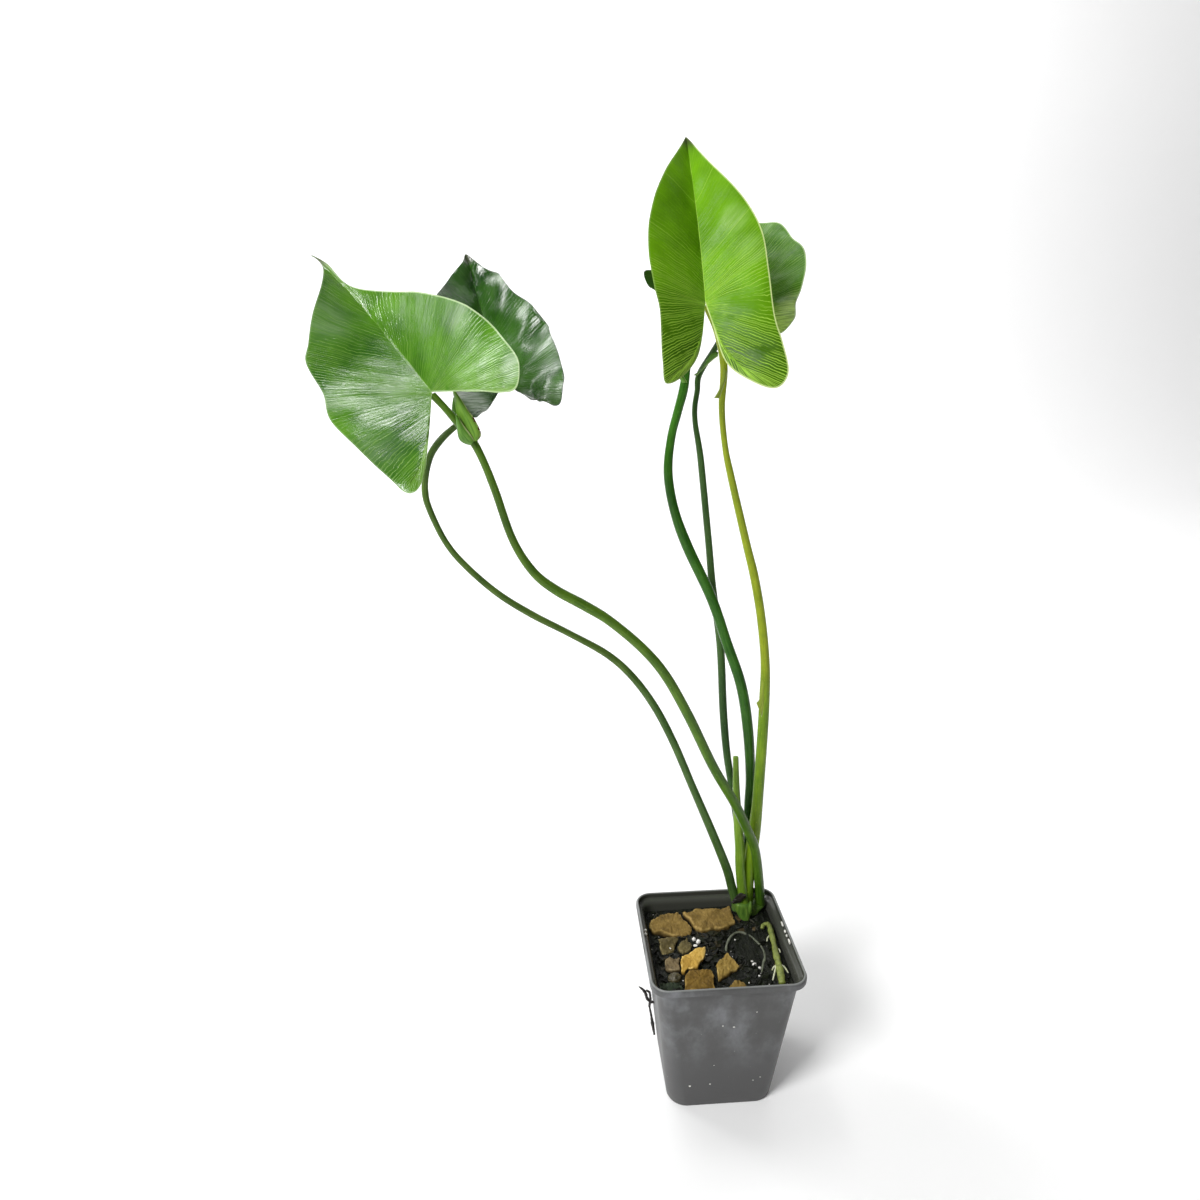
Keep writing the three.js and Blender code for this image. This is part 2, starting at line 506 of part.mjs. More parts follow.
const BEVEL = 0.5;              // worn edge of a chip
const CHIPS = {
  chip_back_left: {
    z: 100.2, thick: 4.2, tip: [10, -3], colour: 0xa07d45,
    outline: [[-42.5, 24.6], [-40.6, 29.3], [-34.6, 32.5], [-27.9, 33.5], [-20.6, 33.5], [-16.9, 26.8],
      [-13.4, 18.2], [-15.1, 14.2], [-21.1, 13.4], [-32, 16.4], [-41.1, 19.2]],
  },
  chip_back_right: {
    z: 100.6, thick: 4.4, tip: [9, 2], colour: 0xa5814a,
    outline: [[-18, 34.1], [-10.7, 34.3], [-8.4, 37.5], [-4.5, 36.9], [8.3, 36.8], [16.9, 37.7],
      [17.6, 32.9], [18.4, 24], [9.9, 18.9], [0.1, 18.7], [-6.7, 16.3], [-10.3, 18.7], [-13.9, 27.1]],
  },
  chip_grey_left: {
    z: 98.4, thick: 3, tip: [3, 6], colour: 0x766648,
    outline: [[-37.4, 10.5], [-31.6, 12.7], [-23.5, 11.6], [-27.3, 4.8], [-29.2, -0.9], [-36.5, -5],
      [-37.9, 2.4]],
  },
  chip_grey_right: {
    z: 99.2, thick: 3, tip: [6, -6], colour: 0x80684a,
    outline: [[-26, 2.2], [-18.5, 9.5], [-16.2, 1.7], [-17.5, -1.9], [-23.6, -4]],
  },
  chip_orange: {
    z: 101, thick: 2.8, tip: [10, -9], colour: 0xd49a3e,
    outline: [[-25.2, -9.9], [-19.1, -6.7], [-8.8, -4.9], [-8.1, -7], [-11.5, -14.4], [-16.3, -19.6],
      [-22.6, -19.2], [-25.2, -22.4], [-26.8, -21.9], [-26.4, -14.9]],
  },
  chip_ochre: {
    z: 100.2, thick: 3, tip: [7, 3], colour: 0xae8238,
    outline: [[-22.7, -23.7], [-13.9, -23.1], [-7.4, -23.2], [-7.4, -31.5], [-8.7, -38.2], [-28, -39.4],
      [-25.6, -28.1]],
  },
  chip_square: {
    z: 100.2, thick: 3.2, tip: [8, 9], colour: 0xc28c48,
    outline: [[-4, -19.2], [0.4, -13.9], [5.6, -9.7], [11.5, -19.8], [3.1, -26.5], [-4.8, -31.9]],
  },
  chip_small: {
    z: 98.2, thick: 2.2, tip: [4, 0], colour: 0xb08a52,
    outline: [[0.3, -37.3], [4.2, -33.8], [8.8, -31.9], [11.1, -33.5], [12.2, -37.3], [6.1, -40.1]],
  },
  chip_pink: {
    z: 98.6, thick: 2.6, tip: [-4, -4], colour: 0x9c7a58,
    outline: [[-36.2, -9.3], [-30.6, -8], [-26.2, -8.3], [-27.5, -14], [-27.8, -20.1], [-33.2, -20.6],
      [-37, -17.9]],
  },
};
// A piece of a green leaf lying on the mix
const SCRAP = {
  z: 97.2, thick: 1.8, tip: [2, 3],
  outline: [[-43.5, -31.5], [-39.6, -29], [-34.4, -29.3], [-30.2, -31.3], [-28.2, -35.2],
    [-36.3, -37.6], [-42.4, -35.8]],
};

function chipBody(chip, grow = 0) {
  const cx = chip.outline.reduce((s, p) => s + p[0], 0) / chip.outline.length;
  const cy = chip.outline.reduce((s, p) => s + p[1], 0) / chip.outline.length;
  const size = Math.max(...chip.outline.map((p) => Math.hypot(p[0] - cx, p[1] - cy)));
  const k = 1 + (2.2 * grow) / size;
  const corners = chip.outline.map((p) => new THREE.Vector2((p[0] - cx) * k, (p[1] - cy) * k));
  const body = new THREE.ExtrudeGeometry(new THREE.Shape(corners), {
    depth: chip.thick - 2 * BEVEL + 2 * grow,
    bevelThickness: BEVEL,
    bevelSize: BEVEL,
    bevelOffset: -BEVEL,
    bevelSegments: 1,
    curveSegments: 1,
  });
  body.translate(0, 0, BEVEL - chip.thick - grow);
  body.rotateX(rad(chip.tip[0]));
  body.rotateY(rad(chip.tip[1]));
  body.translate(cx, cy, chip.z);
  return toSolid(body);
}

// Round grains, flattened by the factors given
function grain(x, y, z, radius, squash, grow = 0) {
  const ball = new THREE.IcosahedronGeometry(radius + grow, 1);
  ball.scale(1, 0.85, squash);
  ball.rotateZ(x + y);
  ball.translate(x, y, z);
  return toSolid(ball);
}

// Each is given as x, y, z, radius and height factor
const LUMP = [-32, -25.2, 96.8, 4.6, 0.62];
const GRAINS = [
  [-13.4, 9.7, 97.6, 1.4, 0.8], [-10.9, 7.2, 97.2, 1.5, 0.9], [22.6, -16, 95.9, 1.6, 0.8],
  [24.9, -19.9, 96.2, 1.3, 0.8], [-46.7, 13.2, 102.4, 1.2, 0.9],
];

// Roots, runner and the root outside the pot

const ROOTS = [
  [[30, 34, 80, 3.4], [24, 26, 66, 2.6], [12, 12, 48, 2.1], [0, -4, 30, 1.6], [-8, -20, 14, 0.9]],
  [[27, 34, 82, 3.2], [16, 30, 70, 2.4], [-2, 24, 52, 2], [-18, 22, 34, 1.5], [-24, 14, 16, 0.9]],
  [[33, 33, 80, 3.2], [34, 22, 62, 2.4], [30, 6, 44, 2], [28, -12, 26, 1.5], [20, -24, 12, 0.9]],
  [[31, 35, 78, 3], [27, 31, 58, 2.2], [22, 26, 38, 1.8], [12, 22, 20, 1.2], [6, 12, 10, 0.8]],
];
const LOOP = [[4.5, -14, 95.3, 0.8], [5.8, -5.5, 94.4, 0.8], [8.7, 5.8, 94.3, 0.8], [14, 13, 95.8, 0.8],
  [20, 15.5, 95.8, 0.8], [26, 11, 95.5, 0.8], [30, 3, 95.7, 0.8], [31.5, -3, 95.1, 0.8],
  [30.8, -10.8, 96.2, 0.8], [28.2, -16.6, 95.7, 0.8], [25, -25.5, 97.2, 0.6]];
const RUNNER = [[35, 14.4, 100, 1.1], [36.4, 17.1, 100.5, 1.2], [39, 17.7, 100.8, 1.4],
  [40.4, 15.7, 100.5, 1.6], [40.1, 10.1, 100, 1.7], [39.2, -1.5, 99.5, 1.8], [38, -12.6, 99, 1.9],
  [37.4, -20.2, 99, 2.1], [36.8, -27, 98.6, 2.3], [35.8, -35.8, 97.5, 2.4]];
const ROOTLETS = [
  [[36.8, -19, 98.4, 0.7], [33.5, -26, 98.2, 0.6], [30.4, -33, 97.6, 0.4]],
  [[37.6, -19, 98.6, 0.7], [40.4, -23, 98.8, 0.6], [41.8, -28, 98.4, 0.4]],
  [[36.6, -20, 98.2, 0.6], [34, -21.5, 98, 0.5], [32.2, -24, 97.6, 0.4]],
  [[39.4, 8, 99, 0.6], [36.8, 6, 98.8, 0.5], [35.6, 3, 98.4, 0.4]],
  [[39, -4, 98.8, 0.6], [41.4, -6.5, 98.9, 0.5], [41.6, -9, 98.6, 0.4]],
];
const WALL_ROOT = [
  [[-36, 7.5, 45.5, 0.9], [-40.4, 9, 47, 0.9], [-42.6, 9.6, 46.6, 0.9], [-43.4, 10, 43.4, 0.8],
    [-42.2, 10, 36, 0.7], [-41.2, 10, 29, 1.1], [-39.6, 10, 18, 0.8]],
  [[-42.4, 9.6, 46.4, 0.9], [-45, 10, 49.6, 1], [-46.2, 10, 54, 1], [-48, 10, 57.4, 0.9],
    [-51, 10, 60.4, 0.4]],
  [[-42.6, 9.8, 46.4, 0.9], [-42.9, 9.8, 51, 0.8], [-43.6, 9.8, 55.2, 0.8], [-45.8, 10, 56.8, 0.8]],
];

const joined = (routes, sides, perSpan, grow = 0) => routes
  .map((route) => toSolid(stalk(route, sides, perSpan, grow)))
  .reduce((a, b) => a.add(b));

function crownBody(grow = 0) {
  const { x, y, rx, ry, top, bottom } = CROWN;
  const g = grow;
  const levels = [
    [x - 4, y - 5, bottom - g, 4 + g, 3.6 + g],
    [x - 4, y - 4, 86, 6 + g, 5 + g],
    [x - 3, y - 2.6, 94, 7 + g, 5.6 + g],
    [x - 1.5, y - 1.4, 98, 9 + g, 6.2 + g],
    [x - 1, y - 1.2, 99.6, 9.8 + g, 6.2 + g],
    [x, y, top - 0.8, rx + g, ry + g],
    [x, y, top + g, rx - 0.6 + g, ry - 0.5 + g],
  ];
  const lobe = [
    [28, 30, 90 - g, 2 + g, 2 + g],
    [26.4, 27.8, 95.5, 2.6 + g, 2.2 + g],
    [25.8, 29, 99.5, 4 + g, 3.2 + g],
    [25.2, 30.8, 104.5, 5.6 + g, 4 + g],
    [25, 32, 108.6 + g, 6.6 + g, 4.4 + g],
  ];
  const bud = [
    [29, 29.8, 100, 1.7],
    [29.3, 28.6, 104, 1.8],
    [29.5, 28.4, 108, 1.6],
    [29.6, 28.8, 111.5, 0.6],
  ];
  return toSolid(stump(levels, 16))
    .add(toSolid(stump(lobe, 12)))
    .add(joined([bud], 7, 1.5, grow))
    .add(joined(ROOTS, 6, 1, grow));
}

// Remnant of an old sheath: a thin dark scale in front of the stalks, given by its upper and
// lower edges
const OLD_SHEATH = {
  thick: 0.7,
  upper: [[16.2, 30.2, 110.7], [18.6, 29.6, 114.8], [21.4, 28.6, 119], [23.4, 27.6, 119.3],
    [25.4, 27.2, 118.7]],
  lower: [[17.5, 30.2, 109.4], [20.6, 29.4, 110.6], [22.6, 28.4, 111.9], [23.9, 27.6, 114.8],
    [25.8, 27.2, 116.9]],
};

function oldSheath() {
  const { thick, upper, lower } = OLD_SHEATH;
  return toSolid(skin(upper.map(([x, y, z], i) => {
    const [x2, y2, z2] = lower[i];
    return [v3(x2, y2, z2), v3(x2, y2 + thick, z2), v3(x, y + thick, z), v3(x, y, z)];
  })));
}

// Assembly

const group = new THREE.Group();

function add(name, solid, color, roughness, metalness = 0) {
  const material = new THREE.MeshStandardMaterial({ color, roughness, metalness });
  const mesh = new THREE.Mesh(toGeometry(solid), material);
  mesh.name = name;
  group.add(mesh);
}

const STALK_SIDES = 8;
const NECK_REACH = 16;          // length over which a blade is kept clear of its stalk
const FLAP_SIDES = 6;

add('pot', potBody(), 0x3b3c3c, 0.55);

// Stalks, from the front one to the rear one. Each is kept clear of the crown, of its blade and
// of the stalks before it
const routes = { cut: CUT };
for (const [name, leaf] of Object.entries(LEAVES)) {
  routes[name] = leaf.stalk;
}
const perSpan = (name) => (name === 'cut' ? 2 : 1);
let before = crownBody(GAP);
for (const name of Object.keys(routes)) {
  const leaf = LEAVES[name];
  let body = toSolid(stalk(routes[name], STALK_SIDES, perSpan(name)));
  if (leaf) {
    const blade = bladeBody(leaf);
    add(`blade_${name}`, blade, leaf.leafColour, 0.35);
    for (const flap of FLAPS[name]) {
      body = body.add(toSolid(stalk(flap, FLAP_SIDES, 2)));
    }
    body = body.subtract(thickened(blade, leaf.stalkEnd, NECK_REACH, 1.3 * GAP));
  }
  add(`stalk_${name}`, largest(body.subtract(before)), leaf?.stalkColour ?? 0x5d8f35, 0.45);
  before = before.add(toSolid(stalk(routes[name], STALK_SIDES, perSpan(name), GAP)));
}

add('crown', crownBody(), 0x547f34, 0.6);
add('old_sheath', oldSheath(), 0x33271c, 0.85);

let mix = mixBody().subtract(crownBody(GAP));
for (const [name, chip] of Object.entries(CHIPS)) {
  add(name, chipBody(chip), chip.colour, 0.9);
  mix = mix.subtract(chipBody(chip, GAP));
}
const resting = {
  lump: [(g) => grain(...LUMP, g), 0x4a3d2e],
  leaf_scrap: [(g) => chipBody(SCRAP, g), 0x3d5a3a],
  root_loop: [(g) => joined([LOOP], 6, 2, g), 0x5b6156],
  runner: [(g) => joined([RUNNER, ...ROOTLETS], 7, 2, g), 0x7f9a45],
  wall_root: [(g) => joined(WALL_ROOT, 6, 2, g), 0x221d1a],
};
GRAINS.forEach((place, i) => {
  resting[`perlite_${i + 1}`] = [(g) => grain(...place, g), 0xe9e7df];
});
for (const [name, [make, colour]] of Object.entries(resting)) {
  add(name, make(0), colour, 0.85);
  mix = mix.subtract(make(GAP));
}
add('potting_mix', largest(mix), 0x1f1b15, 0.95);

export default group;
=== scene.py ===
import json

import bpy
import numpy as np
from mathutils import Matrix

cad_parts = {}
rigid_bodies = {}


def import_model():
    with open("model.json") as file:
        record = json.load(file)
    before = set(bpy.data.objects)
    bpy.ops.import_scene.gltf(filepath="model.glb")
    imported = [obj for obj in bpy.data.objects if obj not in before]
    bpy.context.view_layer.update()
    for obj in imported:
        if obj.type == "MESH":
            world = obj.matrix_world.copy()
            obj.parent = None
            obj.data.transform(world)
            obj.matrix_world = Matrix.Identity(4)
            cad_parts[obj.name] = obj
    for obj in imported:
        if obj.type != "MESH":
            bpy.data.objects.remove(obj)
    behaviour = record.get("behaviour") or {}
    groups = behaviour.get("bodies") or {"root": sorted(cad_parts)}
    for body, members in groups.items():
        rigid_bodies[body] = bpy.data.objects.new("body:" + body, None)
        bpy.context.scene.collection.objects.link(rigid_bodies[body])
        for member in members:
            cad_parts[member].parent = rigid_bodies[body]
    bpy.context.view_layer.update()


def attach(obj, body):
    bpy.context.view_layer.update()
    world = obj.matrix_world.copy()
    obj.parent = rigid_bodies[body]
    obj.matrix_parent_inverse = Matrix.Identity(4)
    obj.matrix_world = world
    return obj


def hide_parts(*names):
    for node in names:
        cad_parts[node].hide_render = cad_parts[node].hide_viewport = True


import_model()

# The photographer's camera, a wide one close to the plant and a little above its leaves.
# Its place was worked out from the corners of the pot's rim, shelf and underside.
EYE = np.array([-0.113, -0.497, 0.511])
YAW, PITCH, ROLL = np.radians([4.1, 18.2, -0.3])


def camera_axes():
    """Right, up and forward of a camera that looks along +Y, turned to the right by the yaw,
    tipped down by the pitch and then rolled about its own line of sight."""
    level = np.array([np.sin(YAW), np.cos(YAW), 0.0])
    right = np.array([np.cos(YAW), -np.sin(YAW), 0.0])
    forward = level * np.cos(PITCH) - np.array([0, 0, 1]) * np.sin(PITCH)
    up = np.array([0, 0, 1]) * np.cos(PITCH) + level * np.sin(PITCH)
    return (right * np.cos(ROLL) + up * np.sin(ROLL), up * np.cos(ROLL) - right * np.sin(ROLL),
            forward)


def aim(thing, place, right, up, forward):
    """Puts a camera or lamp at a place, looking along forward."""
    matrix = np.eye(4)
    matrix[:3, 0], matrix[:3, 1], matrix[:3, 2], matrix[:3, 3] = right, up, -forward, place
    thing.matrix_world = matrix.T.tolist()


view = bpy.data.cameras.new("camera")
view.lens = 27.0
view.sensor_width = 36.0
view.clip_start = 0.01
camera = bpy.data.objects.new("camera", view)
bpy.context.scene.collection.objects.link(camera)
aim(camera, EYE, *camera_axes())
bpy.context.scene.camera = camera
bpy.context.scene.view_settings.view_transform = "Standard"

# The studio: one white sheet, flat under the pot and curved up behind it, which glows faintly.
# A soft lamp at the front left throws the shadow, three more overhead and at the left give the
# leaves their glare, the fifth lights the wall, and the room itself is dim.
SHEET_COLOUR = (0.93, 0.93, 0.93, 1)


def white_sheet():
    """A floor strip that runs back, climbs a quarter circle and goes on as a wall."""
    turn = np.linspace(0, np.pi / 2, 24)
    front, back, radius, top, half_wide = -4.0, 1.6, 1.2, 5.0, 5.0
    run = np.concatenate([[front], back + radius * np.sin(turn), [back + radius]])
    rise = np.concatenate([[0.0], radius - radius * np.cos(turn), [top]])
    verts = [(x, y, z) for y, z in zip(run, rise) for x in (-half_wide, half_wide)]
    faces = [(2 * i, 2 * i + 1, 2 * i + 3, 2 * i + 2) for i in range(len(run) - 1)]
    mesh = bpy.data.meshes.new("floor")
    mesh.from_pydata(verts, [], faces)
    mesh.polygons.foreach_set("use_smooth", [True] * len(faces))
    return mesh


def node(tree, kind, inputs=None, **settings):
    """Adds a shader node; inputs maps socket names or numbers to values or to other outputs."""
    made = tree.nodes.new(kind)
    for name, value in settings.items():
        setattr(made, name, value)
    for name, value in (inputs or {}).items():
        if isinstance(value, bpy.types.NodeSocket):
            tree.links.new(value, made.inputs[name])
        else:
            made.inputs[name].default_value = value
    return made


def new_material(name, roughness, **sockets):
    """A material with one shader, with the finishes that are the same all over set on it."""
    material = bpy.data.materials.new(name)
    material.use_nodes = True
    shader = material.node_tree.nodes["Principled BSDF"]
    shader.inputs["Roughness"].default_value = roughness
    for socket, value in sockets.items():
        shader.inputs[socket.replace("_", " ")].default_value = value
    return material, material.node_tree, shader


sheet_material, _, sheet_shader = new_material("white sheet", 0.9)
sheet_shader.inputs["Base Color"].default_value = SHEET_COLOUR
sheet_shader.inputs["Emission Color"].default_value = SHEET_COLOUR
sheet_shader.inputs["Emission Strength"].default_value = 0.06
floor = bpy.data.objects.new("floor", white_sheet())
floor.data.materials.append(sheet_material)
bpy.context.scene.collection.objects.link(floor)

world = bpy.data.worlds.new("studio")
world.use_nodes = True
world.node_tree.nodes["Background"].inputs["Color"].default_value = (1, 1, 1, 1)
world.node_tree.nodes["Background"].inputs["Strength"].default_value = 0.13
bpy.context.scene.world = world


def lamp(name, place, target, size, power):
    """A square lamp of the given size that looks from its place at the target."""
    light = bpy.data.lights.new(name, "AREA")
    light.shape = "SQUARE"
    light.size = size
    light.energy = power
    thing = bpy.data.objects.new(name, light)
    bpy.context.scene.collection.objects.link(thing)
    forward = np.array(target, float) - np.array(place, float)
    forward /= np.linalg.norm(forward)
    right = np.cross(forward, [0, 0, 1.0])
    right /= np.linalg.norm(right)
    aim(thing, np.array(place), right, np.cross(right, forward), forward)


lamp("soft lamp", (-2.2, -1.8, 2.6), (0.0, 0.05, 0.2), 1.2, 127)
lamp("overhead lamp", (-0.65, 0.65, 3.1), (-0.1, 0.05, 0.2), 0.7, 19)
lamp("window lamp", (-1.75, 1.2, 1.45), (-0.05, 0.05, 0.45), 0.7, 12)
lamp("side lamp", (-2.1, 0.42, 0.95), (-0.13, -0.02, 0.47), 0.5, 2)
lamp("wall lamp", (0.0, 0.9, 2.2), (0.0, 2.8, 1.2), 1.6, 40)

# The nursery pot: thin black polypropylene, moulded in one piece. Its collar stands out from
# the tapered body and leaves a narrow shelf inside. It has slits in the collar for carrying
# clips and four drainage holes. A small hole in the left wall was made by a root.
MM = 0.001
FLOOR_TOP = 1.5
POT = dict(top=100.0, base=71.0, shelf=101.0, step=4.2, wall=1.3)


def mesh_of(name, verts, faces, smooth=True, sharp=None):
    """A mesh object from arrays of points in metres and of faces, or of lists of faces."""
    mesh = bpy.data.meshes.new(name)
    lists = faces if isinstance(faces, list) else [faces]
    mesh.from_pydata(np.asarray(verts).tolist(), [], [f for part in lists for f in part.tolist()])
    mesh.polygons.foreach_set("use_smooth", [smooth] * len(mesh.polygons))
    if sharp is not None:
        mesh.set_sharp_from_angle(angle=np.radians(sharp))
    made = bpy.data.objects.new(name, mesh)
    bpy.context.scene.collection.objects.link(made)
    return made


def add_attribute(piece, name, values):
    """Stores one number for each vertex, which materials read by name."""
    layer = piece.data.attributes.new(name, "FLOAT", "POINT")
    layer.data.foreach_set("value", np.asarray(values, np.float32).ravel())


def dress(piece, material, slot, *nodes):
    """Gives a piece its material and its body, and hides the solids that it stands for. The
    slot is not used.
    """
    piece.data.materials.append(material)
    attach(piece, "root")
    if nodes:
        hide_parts(*nodes)


def ring_faces(rings, around):
    """Quads between rings that are stored one after the other, and fans to two end points
    that are stored after them."""
    i = np.arange(rings - 1)[:, None] * around
    j = np.arange(around)[None, :]
    k = (j + 1) % around
    quads = np.stack([i + j, i + k, i + around + k, i + around + j], -1).reshape(-1, 4)
    j, k, last = j[0], k[0], (rings - 1) * around
    first_fan = np.stack([np.full(around, rings * around), k, j], -1)
    last_fan = np.stack([np.full(around, rings * around + 1), last + j, last + k], -1)
    return [quads, first_fan, last_fan]


def square_rings(half, corner, height, steps=12):
    """Rings of a square with round corners: a circle of the corner radius is moved out to the
    four corners. The three sizes are arrays, with one value for each ring."""
    quarter = np.repeat(np.arange(4), steps + 1)
    angle = (quarter + np.tile(np.linspace(0, 1, steps + 1), 4)) * np.pi / 2
    sign_x = np.array([1, -1, -1, 1])[quarter]
    sign_y = np.array([1, 1, -1, -1])[quarter]
    half, corner, height = (np.asarray(a, float)[:, None] for a in (half, corner, height))
    x = (half - corner) * sign_x + corner * np.cos(angle)
    y = (half - corner) * sign_y + corner * np.sin(angle)
    return np.stack([x, y, height + 0 * x], -1)


def half_width(z):
    """Half of the body's outer width at a height, growing evenly from base to shelf."""
    neck = POT["top"] - 2 * POT["step"]
    return (POT["base"] + (neck - POT["base"]) * z / POT["shelf"]) / 2


NECK = POT["top"] / 2 - POT["step"]
OUTSIDE = np.array(   # half width, corner radius and height of each ring, from the underside up
    [(half_width(0) - 1.4, 12, 0), (half_width(0) - 0.5, 12.6, 0.25), (half_width(0), 13, 1.2)]
    + [(half_width(z), 13 - 0.035 * z, z) for z in (10, 30, 50, 70, 90)]
    + [(NECK, 9.6, 99.5), (NECK + 0.4, 9.8, 101), (NECK + 1.2, 10, 102.2), (NECK + 2.1, 10.4, 102.7),
       (49.4, 11, 102.9), (49.9, 11.3, 103.3), (50, 11.3, 104), (50, 11.2, 106.2), (49.9, 11, 107),
       (49.6, 10.8, 107.6), (49.1, 10.4, 107.95)])
INSIDE = np.array(
    [(48.6, 10, 107.9), (48.2, 9.7, 107.4), (48.1, 9.6, 106.6), (48.2, 9.6, 104.6), (47.8, 9.4, 104.1),
     (46.4, 9, 103.6), (45.3, 8.6, 102.6), (44.8, 8.4, 101), (NECK - POT["wall"], 8.2, 99.5)]
    + [(half_width(z) - POT["wall"], 11.8 - 0.035 * z, z) for z in (90, 60, 30, 6)]
    + [(half_width(0) - POT["wall"] - 0.6, 11, 2.2), (half_width(0) - 3, 10, FLOOR_TOP)])


def pot_mesh():
    """The outer and the inner face as one run of square rings, from the underside up over the
    lip and down to the floor. The slits and holes are cut from it afterwards."""
    half, corner, level = np.concatenate([OUTSIDE, INSIDE]).T
    rings = square_rings(half, corner, level, 20)
    verts = np.concatenate([rings.reshape(-1, 3), [[0, 0, 0], [0, 0, FLOOR_TOP]]]) * MM
    return mesh_of("pot_body", verts, ring_faces(len(rings), rings.shape[1]))


def depth_in_wall(points):
    """How far points in millimetres lie inside the outer face at their own height: the
    distance to a square with round corners, negative inside it."""
    half, corner = (np.interp(points[:, 2], OUTSIDE[:, 2], OUTSIDE[:, k]) for k in (0, 1))
    over = np.abs(points[:, :2]) - (half - corner)[:, None]
    return np.hypot(*np.maximum(over, 0).T) + np.minimum(over.max(1), 0) - corner


BLOCK_FACES = np.array(
    [[0, 4, 6, 2], [1, 3, 7, 5], [0, 1, 5, 4], [2, 6, 7, 3], [0, 2, 3, 1], [4, 5, 7, 6]])


def block(low, high):
    """The eight corners and six outward faces of a box."""
    corners = np.array([[(low, high)[(i >> k) & 1][k] for k in range(3)] for i in range(8)], float)
    return corners * MM, [BLOCK_FACES]


def rod(start, end, radius, sides=32):
    """A straight round rod between two points."""
    start, end = np.array(start, float), np.array(end, float)
    along = (end - start) / np.linalg.norm(end - start)
    first = np.cross(along, [0.3, 0.5, 0.8])
    first /= np.linalg.norm(first)
    second = np.cross(along, first)
    angle = np.linspace(0, 2 * np.pi, sides, endpoint=False)[:, None]
    circle = radius * (np.cos(angle) * first + np.sin(angle) * second)
    return np.concatenate([start + circle, end + circle, [start, end]]) * MM, ring_faces(2, sides)


SLITS = ((4.6, 12.0), (-1.4, 3.4), (-5.2, -2.6), (-11.8, -6.4))
SLIT_LOW, SLIT_HIGH = 104.4, 106.3
DRAIN_PLACE, DRAIN_RADIUS = 21, 4.5
ROOT_HOLE_Y, ROOT_HOLE_Z, ROOT_HOLE_RADIUS = 9, 47, 1.7
cutters = [block((side - 2, low, SLIT_LOW), (side + 2, high, SLIT_HIGH))
           for side in (-49.4, 49.4) for low, high in SLITS]
cutters += [rod((x, y, -3), (x, y, 4), DRAIN_RADIUS)
            for x in (-DRAIN_PLACE, DRAIN_PLACE) for y in (-DRAIN_PLACE, DRAIN_PLACE)]
cutters += [rod((-46, ROOT_HOLE_Y, ROOT_HOLE_Z), (-36, ROOT_HOLE_Y, ROOT_HOLE_Z), ROOT_HOLE_RADIUS)]
pot = pot_mesh()
for k, (points, faces) in enumerate(cutters):
    tool = mesh_of("cutter_%d" % k, points, faces, smooth=False)
    cut = pot.modifiers.new("cut", "BOOLEAN")
    cut.object = tool
    cut.solver = "EXACT"
whole = bpy.data.meshes.new_from_object(pot.evaluated_get(bpy.context.evaluated_depsgraph_get()))
pot.modifiers.clear()
pot.data = whole
pot.data.materials.clear()
for tool in [o for o in bpy.data.objects if o.name.startswith("cutter_")]:
    bpy.data.objects.remove(tool)
pot.data.set_sharp_from_angle(angle=np.radians(35))
pot_points = np.empty(3 * len(pot.data.vertices), np.float32)
pot.data.vertices.foreach_get("co", pot_points)
pot_depth = depth_in_wall(pot_points.reshape(-1, 3) / MM)
# A mask of the pot's inner faces: the material paints them darker there, as painted shade, and makes them
# glossier.
add_attribute(pot, "inside", np.clip((-0.5 - pot_depth) / 0.4, 0, 1))


def ramp(tree, factor, stops):
    """Colours that change with a factor; stops are pairs of a position and a colour."""
    made = node(tree, "ShaderNodeValToRGB", {0: factor})
    elements = made.color_ramp.elements
    while len(elements) < len(stops):
        elements.new(0.5)
    for element, (position, colour) in zip(elements, stops):
        element.position = position
        element.color = (*colour, 1)
    return made.outputs[0]


def speckle(tree, vector, scale, detail=4.0, roughness=0.6):
    """A cloudy pattern between 0 and 1; scale counts its blobs per metre."""
    inputs = {"Vector": vector, "Scale": scale, "Detail": detail, "Roughness": roughness}
    return node(tree, "ShaderNodeTexNoise", inputs).outputs[0]


def blend(tree, factor, first, second, how="MIX"):
    """Mixes two colours by a factor."""
    mixed = node(tree, "ShaderNodeMix", data_type="RGBA", blend_type=how)
    for socket, value in ((0, factor), (6, first), (7, second)):
        if isinstance(value, bpy.types.NodeSocket):
            tree.links.new(value, mixed.inputs[socket])
        else:
            mixed.inputs[socket].default_value = value if socket == 0 else (*value, 1)
    return mixed.outputs[2]


def finish(tree, shader, colour, height, depth, strength=1.0):
    """Gives a shader its colour and lets the light see a height pattern, so many metres deep."""
    made = node(tree, "ShaderNodeBump", {"Height": height, "Distance": depth, "Strength": strength})
    tree.links.new(made.outputs[0], shader.inputs["Normal"])
    tree.links.new(colour, shader.inputs["Base Color"])


def place_in(tree, stretch=(1, 1, 1)):
    """Object coordinates in metres, stretched along the three axes."""
    place = node(tree, "ShaderNodeTexCoord").outputs["Object"]
    return node(tree, "ShaderNodeMapping", {"Vector": place, "Scale": stretch}).outputs[0]


def mark(tree, name):
    """The numbers that a piece stores under a name, one for each vertex."""
    return node(tree, "ShaderNodeAttribute", attribute_name=name).outputs["Fac"]


def sum_of(tree, how, first, second=0.0, third=0.0):
    """One sum of the shader's own."""
    inputs = {0: first, 1: second, 2: third}
    return node(tree, "ShaderNodeMath", inputs, operation=how).outputs[0]


def times(tree, first, second):
    """The product of two values."""
    return sum_of(tree, "MULTIPLY", first, second)


def scaled(tree, value, factor, start):
    """A value multiplied by a factor and added to a start."""
    return sum_of(tree, "MULTIPLY_ADD", value, factor, start)


def step(tree, value, low, high):
    """Rises smoothly from 0 to 1 while a value goes from low to high; high may be the lower."""
    inputs = {0: value, 1: low, 2: high}
    return node(tree, "ShaderNodeMapRange", inputs, interpolation_type="SMOOTHSTEP").outputs[0]


